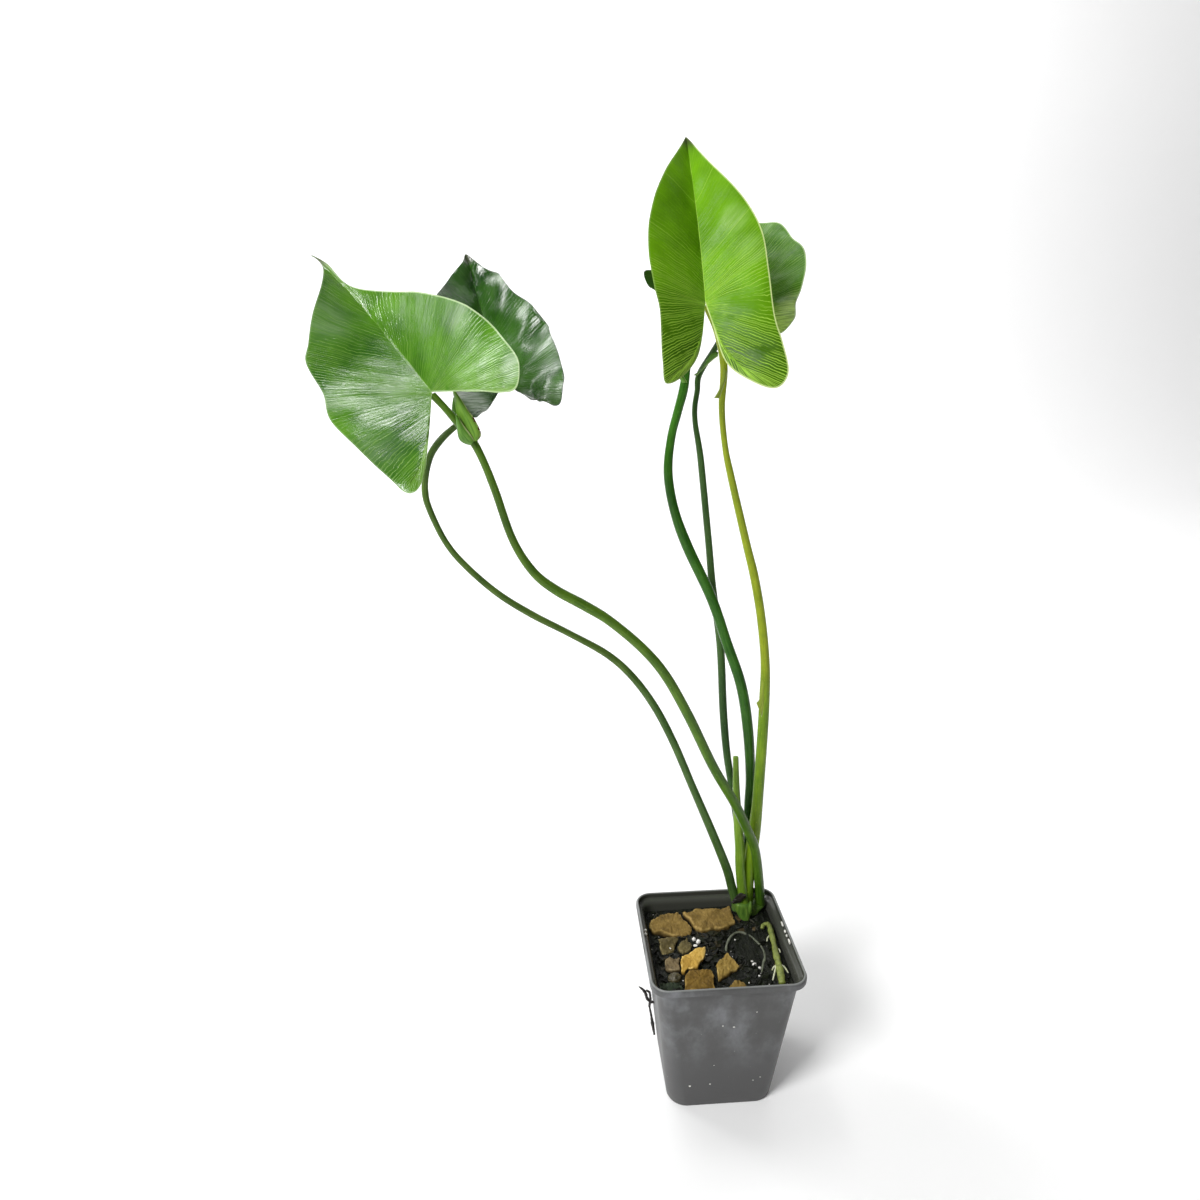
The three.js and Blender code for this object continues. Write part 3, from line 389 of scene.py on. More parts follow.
def height_in(tree):
    """Height above the ground, in metres."""
    return node(tree, "ShaderNodeSeparateXYZ", {0: place_in(tree)}).outputs[2]


FILM_LOW, FILM_FULL = 0.025, 0.07       # heights in metres, as are the next two
# Heights of the painted highlight along the top of the lip.
LIP_HIGHLIGHT_FROM, LIP_HIGHLIGHT_TO = 0.1072, 0.1079


def pot_material():
    """Dull black plastic with a grey film of dried water, which lies in soft clouds, and with
    a few white specks. The inner faces are painted darker, as painted shade, and are glossier;
    a paler band along the top of the lip is a painted highlight. The moulded skin has a very
    fine grain."""
    material, tree, shader = new_material("black plastic", 0.48, Specular_IOR_Level=0.45)
    place = place_in(tree)
    clouds = speckle(tree, place_in(tree, (1, 1, 0.7)), 34, 6, 0.6)
    colour = ramp(tree, clouds, [(0.4, (0.066, 0.066, 0.065)), (0.5, (0.085, 0.086, 0.086)),
                                 (0.57, (0.12, 0.123, 0.127)), (0.66, (0.18, 0.185, 0.195))])
    patches = step(tree, speckle(tree, place, 60, 2), 0.52, 0.66)
    specks = times(tree, step(tree, speckle(tree, place, 700, 2), 0.72, 0.78), patches)
    height = height_in(tree)
    colour = blend(tree, step(tree, height, FILM_FULL, FILM_LOW), colour, (0.072, 0.072, 0.072))
    # Painted highlight: a paler band along the top of the lip.
    lip_highlight = times(tree, step(tree, height, LIP_HIGHLIGHT_FROM, LIP_HIGHLIGHT_TO), 0.7)
    inside = mark(tree, "inside")
    colour = blend(tree, specks, colour, (0.5, 0.5, 0.48))
    # Painted shade: the inner faces are painted darker.
    colour = blend(tree, inside, colour, (0.05, 0.052, 0.043))
    colour = blend(tree, lip_highlight, colour, (0.25, 0.26, 0.25))
    tree.links.new(scaled(tree, inside, -0.22, 0.48), shader.inputs["Roughness"])
    finish(tree, shader, colour, speckle(tree, place, 2500, 3), 0.00008, 0.5)
    return material


dress(pot, pot_material(), "black_plastic", "pot")

# The potting mix: bark, peat and grit, black and wet. It fills the pot to just under the
# shelf, rises round the crown and dips in front of it.
MIX_LEVEL, MIX_GAP = 96, 0.25


def mix_height(x, y):
    """Height of the mix in millimetres: a low ripple, a mound at the crown and a hollow."""
    ripple = 0.8 * np.sin(x / 6 + 1) * np.cos(y / 7) + 0.5 * np.sin((x + 2 * y) / 5)
    mound = 3.2 * np.exp(-((x - 30) ** 2 + (y - 38) ** 2) / 160)
    hollow = -2.6 * np.exp(-((x - 13) ** 2 + (y + 2) ** 2) / 260)
    return 95.8 + ripple + mound + hollow


def roughened(points, size, depth, seed):
    """A smooth random height between -depth and depth: the sum of twelve waves whose lengths
    lie round the size and whose directions are drawn at random."""
    draw = np.random.default_rng(seed)
    directions = draw.normal(size=(12, points.shape[-1]))
    directions /= np.linalg.norm(directions, axis=1)[:, None]
    waves = 2 * np.pi / (size * draw.uniform(0.6, 1.6, 12))
    phases = draw.uniform(0, 2 * np.pi, 12)
    return depth * np.sin(points @ (directions * waves[:, None]).T + phases).mean(-1) * 2.5


def mix_mesh():
    """A top that is a square sheet of rings shrinking to the middle, rough with crumbs, on a
    tapered block that reaches down to the pot's floor."""
    share = np.linspace(1, 0.04, 60)
    edge = half_width(MIX_LEVEL) - POT["wall"] - MIX_GAP
    tops = square_rings(edge * share, 6.5 * share, 0 * share, 18)
    x, y = tops[..., 0], tops[..., 1]
    flat = np.stack([x, y], -1)
    tops[..., 2] = mix_height(x, y) + roughened(flat, 5, 0.7, 3) + roughened(flat, 1.8, 0.45, 4)
    tops[0, :, 2] -= 1.0
    level = np.array([1.7, 3.4, 50, 92.0])
    half = half_width(level) - POT["wall"] - 0.3 - np.array([3.0, 0.2, 0, 0])
    sides = square_rings(half, 11.5 - 0.045 * level, level, 18)
    rings = np.concatenate([sides, tops])
    centre = [[0, 0, 1.7], [0, 0, mix_height(0, 0)]]
    verts = np.concatenate([rings.reshape(-1, 3), centre]) * MM
    return mesh_of("mix", verts, ring_faces(len(rings), rings.shape[1]))


def mix_material():
    """Wet peat and bark: almost black, with brown and green-grey crumbs and wet glints."""
    material, tree, shader = new_material("potting mix", 0.3, Specular_IOR_Level=0.25)
    place = place_in(tree)
    crumbs = speckle(tree, place, 420, 6, 0.7)
    colour = ramp(tree, crumbs, [(0.32, (0.002, 0.0018, 0.001)), (0.5, (0.005, 0.0065, 0.003)),
                                 (0.62, (0.012, 0.015, 0.007)), (0.74, (0.035, 0.032, 0.016))])
    finish(tree, shader, colour, speckle(tree, place, 900, 6, 0.7), 0.0012)
    return material


black_mix = mix_material()
mix = mix_mesh()
dress(mix, black_mix, "potting_mix", "potting_mix")

# Crumbs of bark and peat that lie loose on the mix, and a few white specks of grit. Each is
# a flattened lump with eight corners that were pulled about at random.
SCATTER_REACH, SCATTER_LEVEL, WALL_MARGIN = 43.5, 97.0, 1.6
KEPT_FREE = ((30, 37, 12), (-27, 23, 13), (-8, 28, 11), (9, 28, 11), (-31, 5, 8), (-20, 2, 6),
             (-18, -14, 8), (-16, -31, 11), (2, -20, 9), (6, -36, 5), (-31.5, -14, 6), (-32, -25, 5),
             (-36, -33, 6), (4.5, -12, 3), (6, -5, 3), (8, 2, 3), (11, 9, 3), (17, 14.5, 3), (24, 13, 3),
             (29, 6, 3), (31.5, -2, 3), (31, -9, 3), (28.5, -16, 3), (26, -22, 3))


def crumbs_mesh(name, count, sizes, lift, seed, free=KEPT_FREE):
    """Random blocks scattered over the mix: the corners of a cube, moved a little at random,
    scaled, turned and set on the surface. Places near a chip or the crown are dropped."""
    draw = np.random.default_rng(seed)
    place = draw.uniform(-SCATTER_REACH, SCATTER_REACH, (count, 2))
    for x, y, radius in free:
        place = place[np.hypot(place[:, 0] - x, place[:, 1] - y) > radius]
    bulk = draw.uniform(*sizes, len(place))
    level = np.full((len(place), 1), SCATTER_LEVEL)
    near_wall = depth_in_wall(np.concatenate([place, level], 1)) > -WALL_MARGIN - 0.75 * bulk
    place, bulk = place[~near_wall], bulk[~near_wall]
    n = len(place)
    size = bulk[:, None, None] * draw.uniform([0.6, 0.4, 0.25], [1.2, 0.9, 0.6], (n, 3))[:, None, :]
    cube = np.array([[(i >> k) & 1 for k in range(3)] for i in range(8)], float) - 0.5
    corners = (cube + draw.uniform(-0.22, 0.22, (n, 8, 3))) * size
    spin, tip = draw.uniform(0, 2 * np.pi, (2, n, 1)) * np.array([[[1.0]], [[0.12]]])
    x, y, z = corners[..., 0], corners[..., 1], corners[..., 2]
    y, z = y * np.cos(tip) - z * np.sin(tip), y * np.sin(tip) + z * np.cos(tip)
    x, y = x * np.cos(spin) - y * np.sin(spin), x * np.sin(spin) + y * np.cos(spin)
    ground = mix_height(place[:, 0], place[:, 1])[:, None]
    verts = np.stack([x + place[:, :1], y + place[:, 1:], z + ground + lift], -1).reshape(-1, 3) * MM
    faces = (BLOCK_FACES[None] + 8 * np.arange(n)[:, None, None]).reshape(-1, 4)
    made = mesh_of(name, verts, faces, smooth=False)
    add_attribute(made, "shade", np.repeat(draw.random(n), 8))
    return made


def crumb_material():
    """Bits of bark from black to dull brown and green-grey, one shade for each crumb."""
    material, tree, shader = new_material("crumbs", 0.4, Specular_IOR_Level=0.2)
    colour = ramp(tree, mark(tree, "shade"),
                  [(0.0, (0.002, 0.0025, 0.001)), (0.6, (0.005, 0.006, 0.003)),
                   (0.88, (0.011, 0.014, 0.006)), (0.97, (0.03, 0.023, 0.01)),
                   (1.0, (0.08, 0.056, 0.024))])
    finish(tree, shader, colour, speckle(tree, place_in(tree), 1500, 4), 0.0004)
    return material


crumbs = crumbs_mesh("crumbs", 1300, (1.4, 5.2), 0.3, 11)
dress(crumbs, crumb_material(), "potting_mix")


def grit_material():
    """White expanded grit, chalky and full of small pits."""
    material, tree, shader = new_material("white grit", 0.85)
    place = place_in(tree)
    colour = ramp(tree, speckle(tree, place, 900, 3),
                  [(0.35, (0.55, 0.53, 0.48)), (0.6, (0.9, 0.89, 0.85))])
    finish(tree, shader, colour, speckle(tree, place, 1800, 3), 0.0003)
    return material


# This white also serves the bits that are painted highlights on the collar and the shelf.
white_grit_and_glints = grit_material()
specks = crumbs_mesh("grit_specks", 55, (0.4, 1.1), 0.8, 12, free=KEPT_FREE[:1])
dress(specks, white_grit_and_glints, "perlite")

# Larger grains of expanded white grit, each a knobbly ball. Four lie loose on the mix. The
# fifth, on the pot's left shelf, is a painted highlight: a white grain put where a glint shows.
GRAINS_AND_SHELF_GLINT = ((-13.4, 9.7, 97.6, 1.4, 0.8), (-10.9, 7.2, 97.2, 1.5, 0.9), (22.6, -16, 95.9, 1.6, 0.8),
          (24.9, -19.9, 96.2, 1.3, 0.8), (-46.7, 13.2, 104.2, 1.2, 0.9))


def ball(centre, radii, bumps, seed, around=28, rows=16):
    """A ball of rings of latitude, with its surface pushed in and out by a random height."""
    up = np.linspace(0, np.pi, rows + 2)[1:-1][:, None]
    turn = np.linspace(0, 2 * np.pi, around, endpoint=False)[None, :]
    rings = np.stack(
        [np.sin(up) * np.cos(turn), np.sin(up) * np.sin(turn), -np.cos(up) + 0 * turn], -1)
    unit = np.concatenate([rings.reshape(-1, 3), [[0, 0, -1], [0, 0, 1]]])
    swell = 1 + roughened(unit, 0.9, bumps, seed) + roughened(unit, 0.35, bumps / 2, seed + 1)
    grown = unit * swell[:, None]
    return (np.array(centre) + grown * np.array(radii)) * MM, ring_faces(rows, around)


for k, (x, y, z, radius, squash) in enumerate(GRAINS_AND_SHELF_GLINT):
    grain = ball((x, y, z), (radius, 0.85 * radius, radius * squash), 0.14, 20 + k)
    dress(mesh_of("grain_%d" % (k + 1), *grain), white_grit_and_glints, "perlite", "perlite_%d" % (k + 1))

# Small white bits, each a flattened ball: broken grit on the mix, and drops of lime dried onto
# the pot's front. The bits on the collar's inner wall and on its left shelf are painted
# highlights: white put where glints show.
WHITE_BITS_AND_GLINTS = (
    (-13.4, 9.9, 98.4, 0.55, 1.5, 0.5), (-10.7, 7.4, 98.2, 1.3, 1.3, 0.5),
    (-13.6, 2.5, 98.4, 1.5, 1.1, 0.7), (21.4, -13.8, 96.8, 0.9, 0.6, 0.5),
    (22.8, -17.6, 97, 0.7, 1.1, 0.5), (23, -27.3, 96.6, 0.8, 0.6, 0.4),
    (10.5, -0.9, 94.8, 0.6, 0.5, 0.4), (14.9, 8.8, 96.2, 0.6, 0.6, 0.4),
    # The last five, on the collar's inner wall and the left shelf, are painted highlights.
    (24.2, -1.6, 96.4, 0.7, 0.5, 0.4), (48, 11, 105.3, 0.7, 2.8, 1), (48, 3.8, 105, 0.7, 1.4, 0.9),
    (48, -0.4, 104.8, 0.7, 1.1, 0.8), (48, -6.7, 105.2, 0.7, 2.3, 1), (-46.7, 9.6, 104.2, 1, 1.5, 0.8))
for k, (x, y, z, *radii) in enumerate(WHITE_BITS_AND_GLINTS):
    bit = ball((x, y, z), radii, 0.16, 130 + k, 14, 8)
    dress(mesh_of("white_bit_%d" % (k + 1), *bit), white_grit_and_glints, "perlite")
SPLASHES = ((-3.2, 72.8, 0.5), (4.1, 71.3, 0.7), (18.1, 83.3, 0.4), (-22.1, 19.6, 0.8), (-8.8, 20.3, 0.6),
            (24.6, 23.9, 0.45), (20, 21.4, 0.4), (-7, 37.5, 0.35))
for k, (x, z, radius) in enumerate(SPLASHES):
    splash = ball((x, -half_width(z), z), (radius, 0.2, 0.8 * radius), 0.2, 160 + k, 12, 6)
    dress(mesh_of("lime_splash_%d" % (k + 1), *splash), white_grit_and_glints, "perlite")

# Chips of coconut husk and bark: flat, fibrous broken pieces with torn edges, which lie loose
# on the mix and are tipped a little. The scrap of a dead leaf is made the same way.
CHIPS = {
    "chip_back_left": dict(z=100.2, thick=4.2, tip=(10, -3), look="tan",
        outline=[(-42.5, 24.6), (-40.6, 29.3), (-34.6, 32.5), (-27.9, 33.5), (-20.6, 33.5),
        (-16.9, 26.8), (-13.4, 18.2), (-15.1, 14.2), (-21.1, 13.4), (-32, 16.4), (-41.1, 19.2)]),
    "chip_back_right": dict(z=100.6, thick=4.4, tip=(9, 2), look="tan",
        outline=[(-18, 34.1), (-10.7, 34.3), (-8.4, 37.5), (-4.5, 36.9), (8.3, 36.8), (16.9, 37.7),
        (17.6, 32.9), (18.4, 24), (9.9, 18.9), (0.1, 18.7), (-6.7, 16.3), (-10.3, 18.7), (-13.9, 27.1)]),
    "chip_grey_left": dict(z=98.4, thick=3, tip=(3, 6), look="grey",
        outline=[(-37.4, 10.5), (-31.6, 12.7), (-23.5, 11.6), (-27.3, 4.8), (-29.2, -0.9), (-36.5, -5),
        (-37.9, 2.4)]),
    "chip_grey_right": dict(z=99.2, thick=3, tip=(6, -6), look="grey",
        outline=[(-26, 2.2), (-18.5, 9.5), (-16.2, 1.7), (-17.5, -1.9), (-23.6, -4)]),
    "chip_orange": dict(z=101, thick=2.8, tip=(10, -9), look="orange",
        outline=[(-25.2, -9.9), (-19.1, -6.7), (-8.8, -4.9), (-8.1, -7), (-11.5, -14.4), (-16.3, -19.6),
        (-22.6, -19.2), (-25.2, -22.4), (-26.8, -21.9), (-26.4, -14.9)]),
    "chip_ochre": dict(z=100.2, thick=3, tip=(7, 3), look="ochre",
        outline=[(-22.7, -23.7), (-13.9, -23.1), (-7.4, -23.2), (-7.4, -31.5), (-8.7, -38.2),
        (-28, -39.4), (-25.6, -28.1)]),
    "chip_square": dict(z=100.2, thick=3.2, tip=(8, 9), look="pale",
        outline=[(-4, -19.2), (0.4, -13.9), (5.6, -9.7), (11.5, -19.8), (3.1, -26.5), (-4.8, -31.9)]),
    "chip_small": dict(z=98.2, thick=2.2, tip=(4, 0), look="tan",
        outline=[(0.3, -37.3), (4.2, -33.8), (8.8, -31.9), (11.1, -33.5), (12.2, -37.3), (6.1, -40.1)]),
    "chip_pink": dict(z=98.6, thick=2.6, tip=(-4, -4), look="pink",
        outline=[(-36.2, -9.3), (-30.6, -8), (-26.2, -8.3), (-27.5, -14), (-27.8, -20.1),
        (-33.2, -20.6), (-37, -17.9)]),
    "leaf_scrap": dict(z=97.2, thick=1.8, tip=(2, 3), look="scrap",
        outline=[(-43.5, -31.5), (-39.6, -29), (-34.4, -29.3), (-30.2, -31.3), (-28.2, -35.2),
        (-36.3, -37.6), (-42.4, -35.8)]),
}
CHIP_COLOURS = {
    "tan": [(0.25, (0.05, 0.03, 0.006)), (0.48, (0.16, 0.1, 0.019)), (0.72, (0.3, 0.2, 0.05))],
    "grey": [(0.25, (0.03, 0.022, 0.006)), (0.5, (0.1, 0.077, 0.024)), (0.75, (0.2, 0.16, 0.06))],
    "pink": [(0.25, (0.04, 0.028, 0.012)), (0.5, (0.14, 0.1, 0.045)), (0.75, (0.26, 0.2, 0.1))],
    "orange": [(0.25, (0.22, 0.11, 0.012)), (0.5, (0.46, 0.28, 0.045)), (0.75, (0.7, 0.5, 0.15))],
    "ochre": [(0.25, (0.05, 0.028, 0.003)), (0.5, (0.15, 0.085, 0.009)), (0.75, (0.27, 0.165, 0.028))],
    "pale": [(0.25, (0.12, 0.065, 0.012)), (0.5, (0.27, 0.175, 0.035)), (0.75, (0.44, 0.31, 0.085))],
    "scrap": [(0.25, (0.005, 0.009, 0.004)), (0.5, (0.014, 0.024, 0.011)), (0.75, (0.06, 0.08, 0.045))],
}


def chip_mesh(name, z, thick, tip, outline, seed):
    """A slab in rings: from the middle of the top to the torn edge, round it, and back to the
    middle underneath. The outline's straight sides are divided and pushed about at random."""
    corners = np.array(outline, float)
    middle = corners.mean(0)
    share = np.linspace(0, 1, 14, endpoint=False)[None, :, None]
    sides = corners[:, None] * (1 - share) + np.roll(corners, -1, 0)[:, None] * share
    border = sides.reshape(-1, 2)[::-1] - middle
    border = border[::-1] if np.cross(border[0], border[10]) > 0 else border
    outward = border / np.linalg.norm(border, axis=1)[:, None]
    torn = roughened(border, 7, 0.5, seed) + roughened(border, 2.2, 0.25, seed + 1)
    border = border + outward * torn[:, None]
    reach = np.array([0.15, 0.35, 0.55, 0.72, 0.85, 0.93, 0.975, 1.0, 1.0, 0.985, 0.95, 0.8, 0.5, 0.2])
    depth = np.array([0, 0, 0, 0, 0, 0.03, 0.1, 0.24, 0.7, 0.9, 1, 1, 1, 1])
    flat = reach[:, None, None] * border[None]
    relief = roughened(flat, 9, 0.8, seed + 2) + roughened(flat, 2.5, 0.4, seed + 3)
    relief = relief * (depth < 0.5)[:, None]
    height = relief - thick * depth[:, None]
    tilt_x, tilt_y = np.radians(tip)
    height = height + flat[..., 1] * np.sin(tilt_x) - flat[..., 0] * np.sin(tilt_y)
    rings = np.stack([flat[..., 0] + middle[0], flat[..., 1] + middle[1], z + height], -1)
    ends = [[*middle, z + relief[0].mean()], [*middle, z - thick]]
    verts = np.concatenate([rings.reshape(-1, 3), ends]) * MM
    faces = [f[:, ::-1] for f in ring_faces(len(rings), len(border))]
    made = mesh_of(name, verts, faces, sharp=50)
    # Two marks for painted light: a painted highlight along the top of the torn edge, and painted shade that
    # darkens the sides and underside.
    edge_highlight = np.exp(-((reach - 0.97) / 0.06) ** 2) * (depth < 0.5)
    for key, per_ring in (("edge_highlight", edge_highlight), ("below", np.clip((depth - 0.15) / 0.4, 0, 1))):
        add_attribute(made, key, np.concatenate([np.repeat(per_ring, len(border)), [0, 1]]))
    return made


def husk_material(look):
    """Dry fibrous husk: long fibres in one direction and darker cracks. The top of the torn edge
    is paler in frayed patches, a painted highlight, and the sides and underside are darker,
    painted shade.
    """
    material, tree, shader = new_material(look + " husk", 0.75, Specular_IOR_Level=0.3)
    fibres = speckle(tree, place_in(tree, (1, 0.25, 1)), 900, 5, 0.65)
    clouds = speckle(tree, place_in(tree), 110, 4, 0.6)
    both = scaled(tree, fibres, 0.45, times(tree, clouds, 0.55))
    stops = CHIP_COLOURS[look]
    bright, deep = tuple(min(1, 1.25 * c + 0.02) for c in stops[-1][1]), tuple(0.4 * c for c in stops[0][1])
    frayed = step(tree, speckle(tree, place_in(tree), 160, 3), 0.42, 0.6)
    # Painted highlight: paler frayed patches along the top of the torn edge.
    colour = blend(tree, times(tree, mark(tree, "edge_highlight"), frayed), ramp(tree, both, stops), bright)
    # Painted shade: the sides and underside are darker.
    colour = blend(tree, times(tree, mark(tree, "below"), 0.75), colour, deep)
    finish(tree, shader, colour, fibres, 0.0006)
    return material


SLOT_OF_LOOK = {"tan": "tan_husk", "ochre": "tan_husk", "pale": "tan_husk", "grey": "grey_husk",
                "pink": "grey_husk", "orange": "orange_husk", "scrap": "leaf_scrap"}
husks = {look: husk_material(look) for look in CHIP_COLOURS}
for k, (name, chip) in enumerate(CHIPS.items()):
    made = chip_mesh(name + "_piece", chip["z"], chip["thick"], chip["tip"], chip["outline"], 40 + 5 * k)
    dress(made, husks[chip["look"]], SLOT_OF_LOOK[chip["look"]], name)

# A dark rounded lump of bark at the front left, wet and worn smooth. It is a ball with its
# surface pushed in and out a little, and it sits in the mix.
lump = mesh_of("bark_lump", *ball((-32, -25.2, 96.8), (4.6, 3.9, 2.85), 0.08, 90, 48, 26))
lump_material, lump_tree, lump_shader = new_material("dark bark", 0.3)
lump_colour = ramp(lump_tree, speckle(lump_tree, place_in(lump_tree), 300, 5),
                   [(0.3, (0.02, 0.017, 0.007)), (0.55, (0.07, 0.058, 0.024)), (0.75, (0.14, 0.12, 0.055))])
finish(lump_tree, lump_shader, lump_colour, speckle(lump_tree, place_in(lump_tree), 700, 5), 0.0008)
dress(lump, lump_material, "dark_bark", "lump")

# Roots: a grey one that loops over the mix, the dark dry one that came out through the wall
# and hangs outside, and the green runner with its white rootlets by the right wall.
LOOP = [(4.5, -14, 95.9, 0.8), (5.8, -5.5, 95.2, 0.8), (8.7, 5.8, 95.3, 0.8), (14, 13, 96.8, 0.8),
        (20, 15.5, 96.8, 0.8), (26, 11, 96.5, 0.8), (30, 3, 96.7, 0.8), (31.5, -3, 96.1, 0.8),
        (30.8, -10.8, 97, 0.8), (28.2, -16.6, 96.6, 0.8), (25, -25.5, 97.6, 0.6)]
WALL_ROOT = [
    [(-36, 7.5, 45.5, 0.9), (-40.4, 9, 47, 0.9), (-42.6, 9.6, 46.6, 0.9), (-43.4, 10, 43.4, 0.8),
     (-42.2, 10, 36, 0.7), (-41.2, 10, 29, 1.1), (-39.6, 10, 18, 0.8)],
    [(-42.4, 9.6, 46.4, 0.9), (-45, 10, 49.6, 1), (-46.2, 10, 54, 1), (-48, 10, 57.4, 0.9),
     (-51, 10, 60.4, 0.4)],
    [(-42.6, 9.8, 46.4, 0.9), (-42.9, 9.8, 51, 0.8), (-43.6, 9.8, 55.2, 0.8), (-45.8, 10, 56.8, 0.8)]]
RUNNER = [(35, 14.4, 100, 1.1), (36.4, 17.1, 100.5, 1.2), (39, 17.7, 100.8, 1.4),
          (40.4, 15.7, 100.5, 1.6), (40.1, 10.1, 100, 1.7), (39.2, -1.5, 99.5, 1.8),
          (38, -12.6, 99, 1.9), (37.4, -20.2, 99, 2.1), (36.8, -27, 98.6, 2.3),
          (35.8, -35.8, 97.5, 2.4)]
ROOTLETS = [
    [(36.8, -19, 98.4, 0.7), (33.5, -26, 98.2, 0.6), (30.4, -33, 97.6, 0.4)],
    [(37.6, -19, 98.6, 0.7), (40.4, -23, 98.8, 0.6), (41.8, -28, 98.4, 0.4)],
    [(36.6, -20, 98.2, 0.6), (34, -21.5, 98, 0.5), (32.2, -24, 97.6, 0.4)],
    [(39.4, 8, 99, 0.6), (36.8, 6, 98.8, 0.5), (35.6, 3, 98.4, 0.4)],
    [(39, -4, 98.8, 0.6), (41.4, -6.5, 98.9, 0.5), (41.6, -9, 98.6, 0.4)]]


def smooth_route(points, per_span, held=False):
    """A smooth curve through points, given as rows of numbers. Each span is a cubic whose
    slope at a point is half the step between that point's neighbours."""
    p = np.asarray(points, float)
    first, last = (p[0], p[-1]) if held else (2 * p[0] - p[1], 2 * p[-1] - p[-2])
    p = np.concatenate([[first], p, [last]])
    f = np.linspace(0, 1, per_span, endpoint=False)[None, :, None]
    a, b = p[1:-2, None], p[2:-1, None]
    slope_a, slope_b = (p[2:-1] - p[:-3])[:, None] / 2, (p[3:] - p[1:-2])[:, None] / 2
    spans = ((2 * a - 2 * b + slope_a + slope_b) * f ** 3 + (3 * b - 3 * a - 2 * slope_a - slope_b) * f ** 2
             + slope_a * f + a)
    return np.concatenate([spans.reshape(-1, p.shape[1]), p[-2:-1]])


def tube(route, sides, per_span, across, swell=None):
    """A tube along a smooth route of points with a radius each. Every ring lies square to the
    route; its first direction is square to the route and to the vector called across. The
    radius may be changed by swell, a function of the share of length and of the angle."""
    path = smooth_route(route, per_span)
    centre, radius = path[:, :3], path[:, 3:4]
    along = np.gradient(centre, axis=0)
    along /= np.linalg.norm(along, axis=1)[:, None]
    side = np.cross(along, across)
    side /= np.linalg.norm(side, axis=1)[:, None]
    up = np.cross(side, along)
    angle = np.linspace(0, 2 * np.pi, sides, endpoint=False)[None, :]
    share = np.linspace(0, 1, len(path))[:, None]
    reach = radius * (swell(share, angle) if swell else 1 + 0 * angle)
    out, rise = (reach * np.cos(angle))[..., None], (reach * np.sin(angle))[..., None]
    rings = centre[:, None] + out * side[:, None] + rise * up[:, None]
    ends = [centre[0] - 0.4 * radius[0] * along[0], centre[-1] + 0.4 * radius[-1] * along[-1]]
    verts = np.concatenate([rings.reshape(-1, 3), ends]) * MM
    faces = [f[:, ::-1] for f in ring_faces(len(path), sides)]
    steps = np.linalg.norm(np.diff(centre, axis=0), axis=1)
    length = np.concatenate([[0], np.cumsum(steps)])
    marks = {"along_mm": np.concatenate([np.repeat(length, sides), [length[0], length[-1]]]),
             "turn_x": np.concatenate([np.tile(np.cos(angle[0]), len(path)), [0, 0]]),
             "turn_y": np.concatenate([np.tile(np.sin(angle[0]), len(path)), [0, 0]])}
    return verts, faces, marks


def joined(name, parts, **settings):
    """One object from several sets of points and faces."""
    verts, faces, count = [], [], 0
    for points, lists in parts:
        verts.append(points)
        faces += [f + count for f in lists]
        count += len(points)
    return mesh_of(name, np.concatenate(verts), faces, **settings)


def skin_of_root(name, dark, light, roughness=0.6):
    """Skin of a root or runner: blotched between two colours and lightly wrinkled."""
    material, tree, shader = new_material(name, roughness)
    place = place_in(tree)
    colour = ramp(tree, speckle(tree, place, 350, 4), [(0.3, dark), (0.7, light)])
    finish(tree, shader, colour, speckle(tree, place, 1500, 4), 0.0003)
    return material


def knotty(share, angle):
    """A root's uneven girth: two slow waves along it and a slight flattening."""
    return 1 + 0.1 * np.sin(31 * share) + 0.08 * np.sin(73 * share + 2) + 0.06 * np.cos(2 * angle)


grey_skin = skin_of_root("grey root", (0.04, 0.046, 0.028), (0.16, 0.175, 0.12))
dark_skin = skin_of_root("dark root", (0.004, 0.003, 0.003), (0.03, 0.024, 0.02), 0.35)
runner_skin = skin_of_root("runner skin", (0.1, 0.125, 0.018), (0.28, 0.33, 0.07), 0.4)
rootlet_skin = skin_of_root("rootlet skin", (0.4, 0.42, 0.24), (0.75, 0.76, 0.6), 0.5)
for name, routes, sides, per_span, across, skin, slot, *nodes in (
        ("grey_root", [LOOP], 14, 10, (0, 0, 1), grey_skin, "grey_root", "root_loop"),
        ("dark_root", WALL_ROOT, 14, 10, (0, 1, 0.1), dark_skin, "dark_root", "wall_root"),
        ("green_runner", [RUNNER], 24, 10, (0, 0, 1), runner_skin, "runner", "runner"),
        ("rootlets", ROOTLETS, 10, 8, (0, 0, 1), rootlet_skin, "runner")):
    made = joined(name, [tube(r, sides, per_span, across, knotty)[:2] for r in routes])
    dress(made, skin, slot, *nodes)

# Fine roots and fibres that cross the mix, thin and dark brown to grey. Each is a thin tube
# along a short curved run, and lies loose on the crumbs.
FIBRE_REACH, FIBRE_CLEARANCE = 43, 9


def fibre_routes(count, seed):
    """Short curved runs over the mix: a start, a direction and a bend drawn at random."""
    draw = np.random.default_rng(seed)
    free = np.array(KEPT_FREE)
    routes = []
    while len(routes) < count:
        start, turn, bend = draw.uniform(-40, 40, 2), draw.uniform(0, 2 * np.pi), draw.normal() * 0.12
        run = np.arange(6) * draw.uniform(1.5, 3)
        heading = turn + bend * np.arange(6)
        x, y = start[0] + run * np.cos(heading), start[1] + run * np.sin(heading)
        away = np.hypot(x[:, None] - free[:, 0], y[:, None] - free[:, 1]).min()
        if max(abs(x).max(), abs(y).max()) < FIBRE_REACH and away >= FIBRE_CLEARANCE:
            z = mix_height(x, y) + 0.7 + draw.uniform(0, 0.6)
            routes.append(np.stack([x, y, z, np.full(6, draw.uniform(0.12, 0.3))], -1))
    return routes


fibres = joined("fibres", [tube(r, 6, 3, (0, 0, 1))[:2] for r in fibre_routes(45, 5)])
dress(fibres, skin_of_root("fibre skin", (0.008, 0.008, 0.004), (0.06, 0.058, 0.035)), "grey_root")

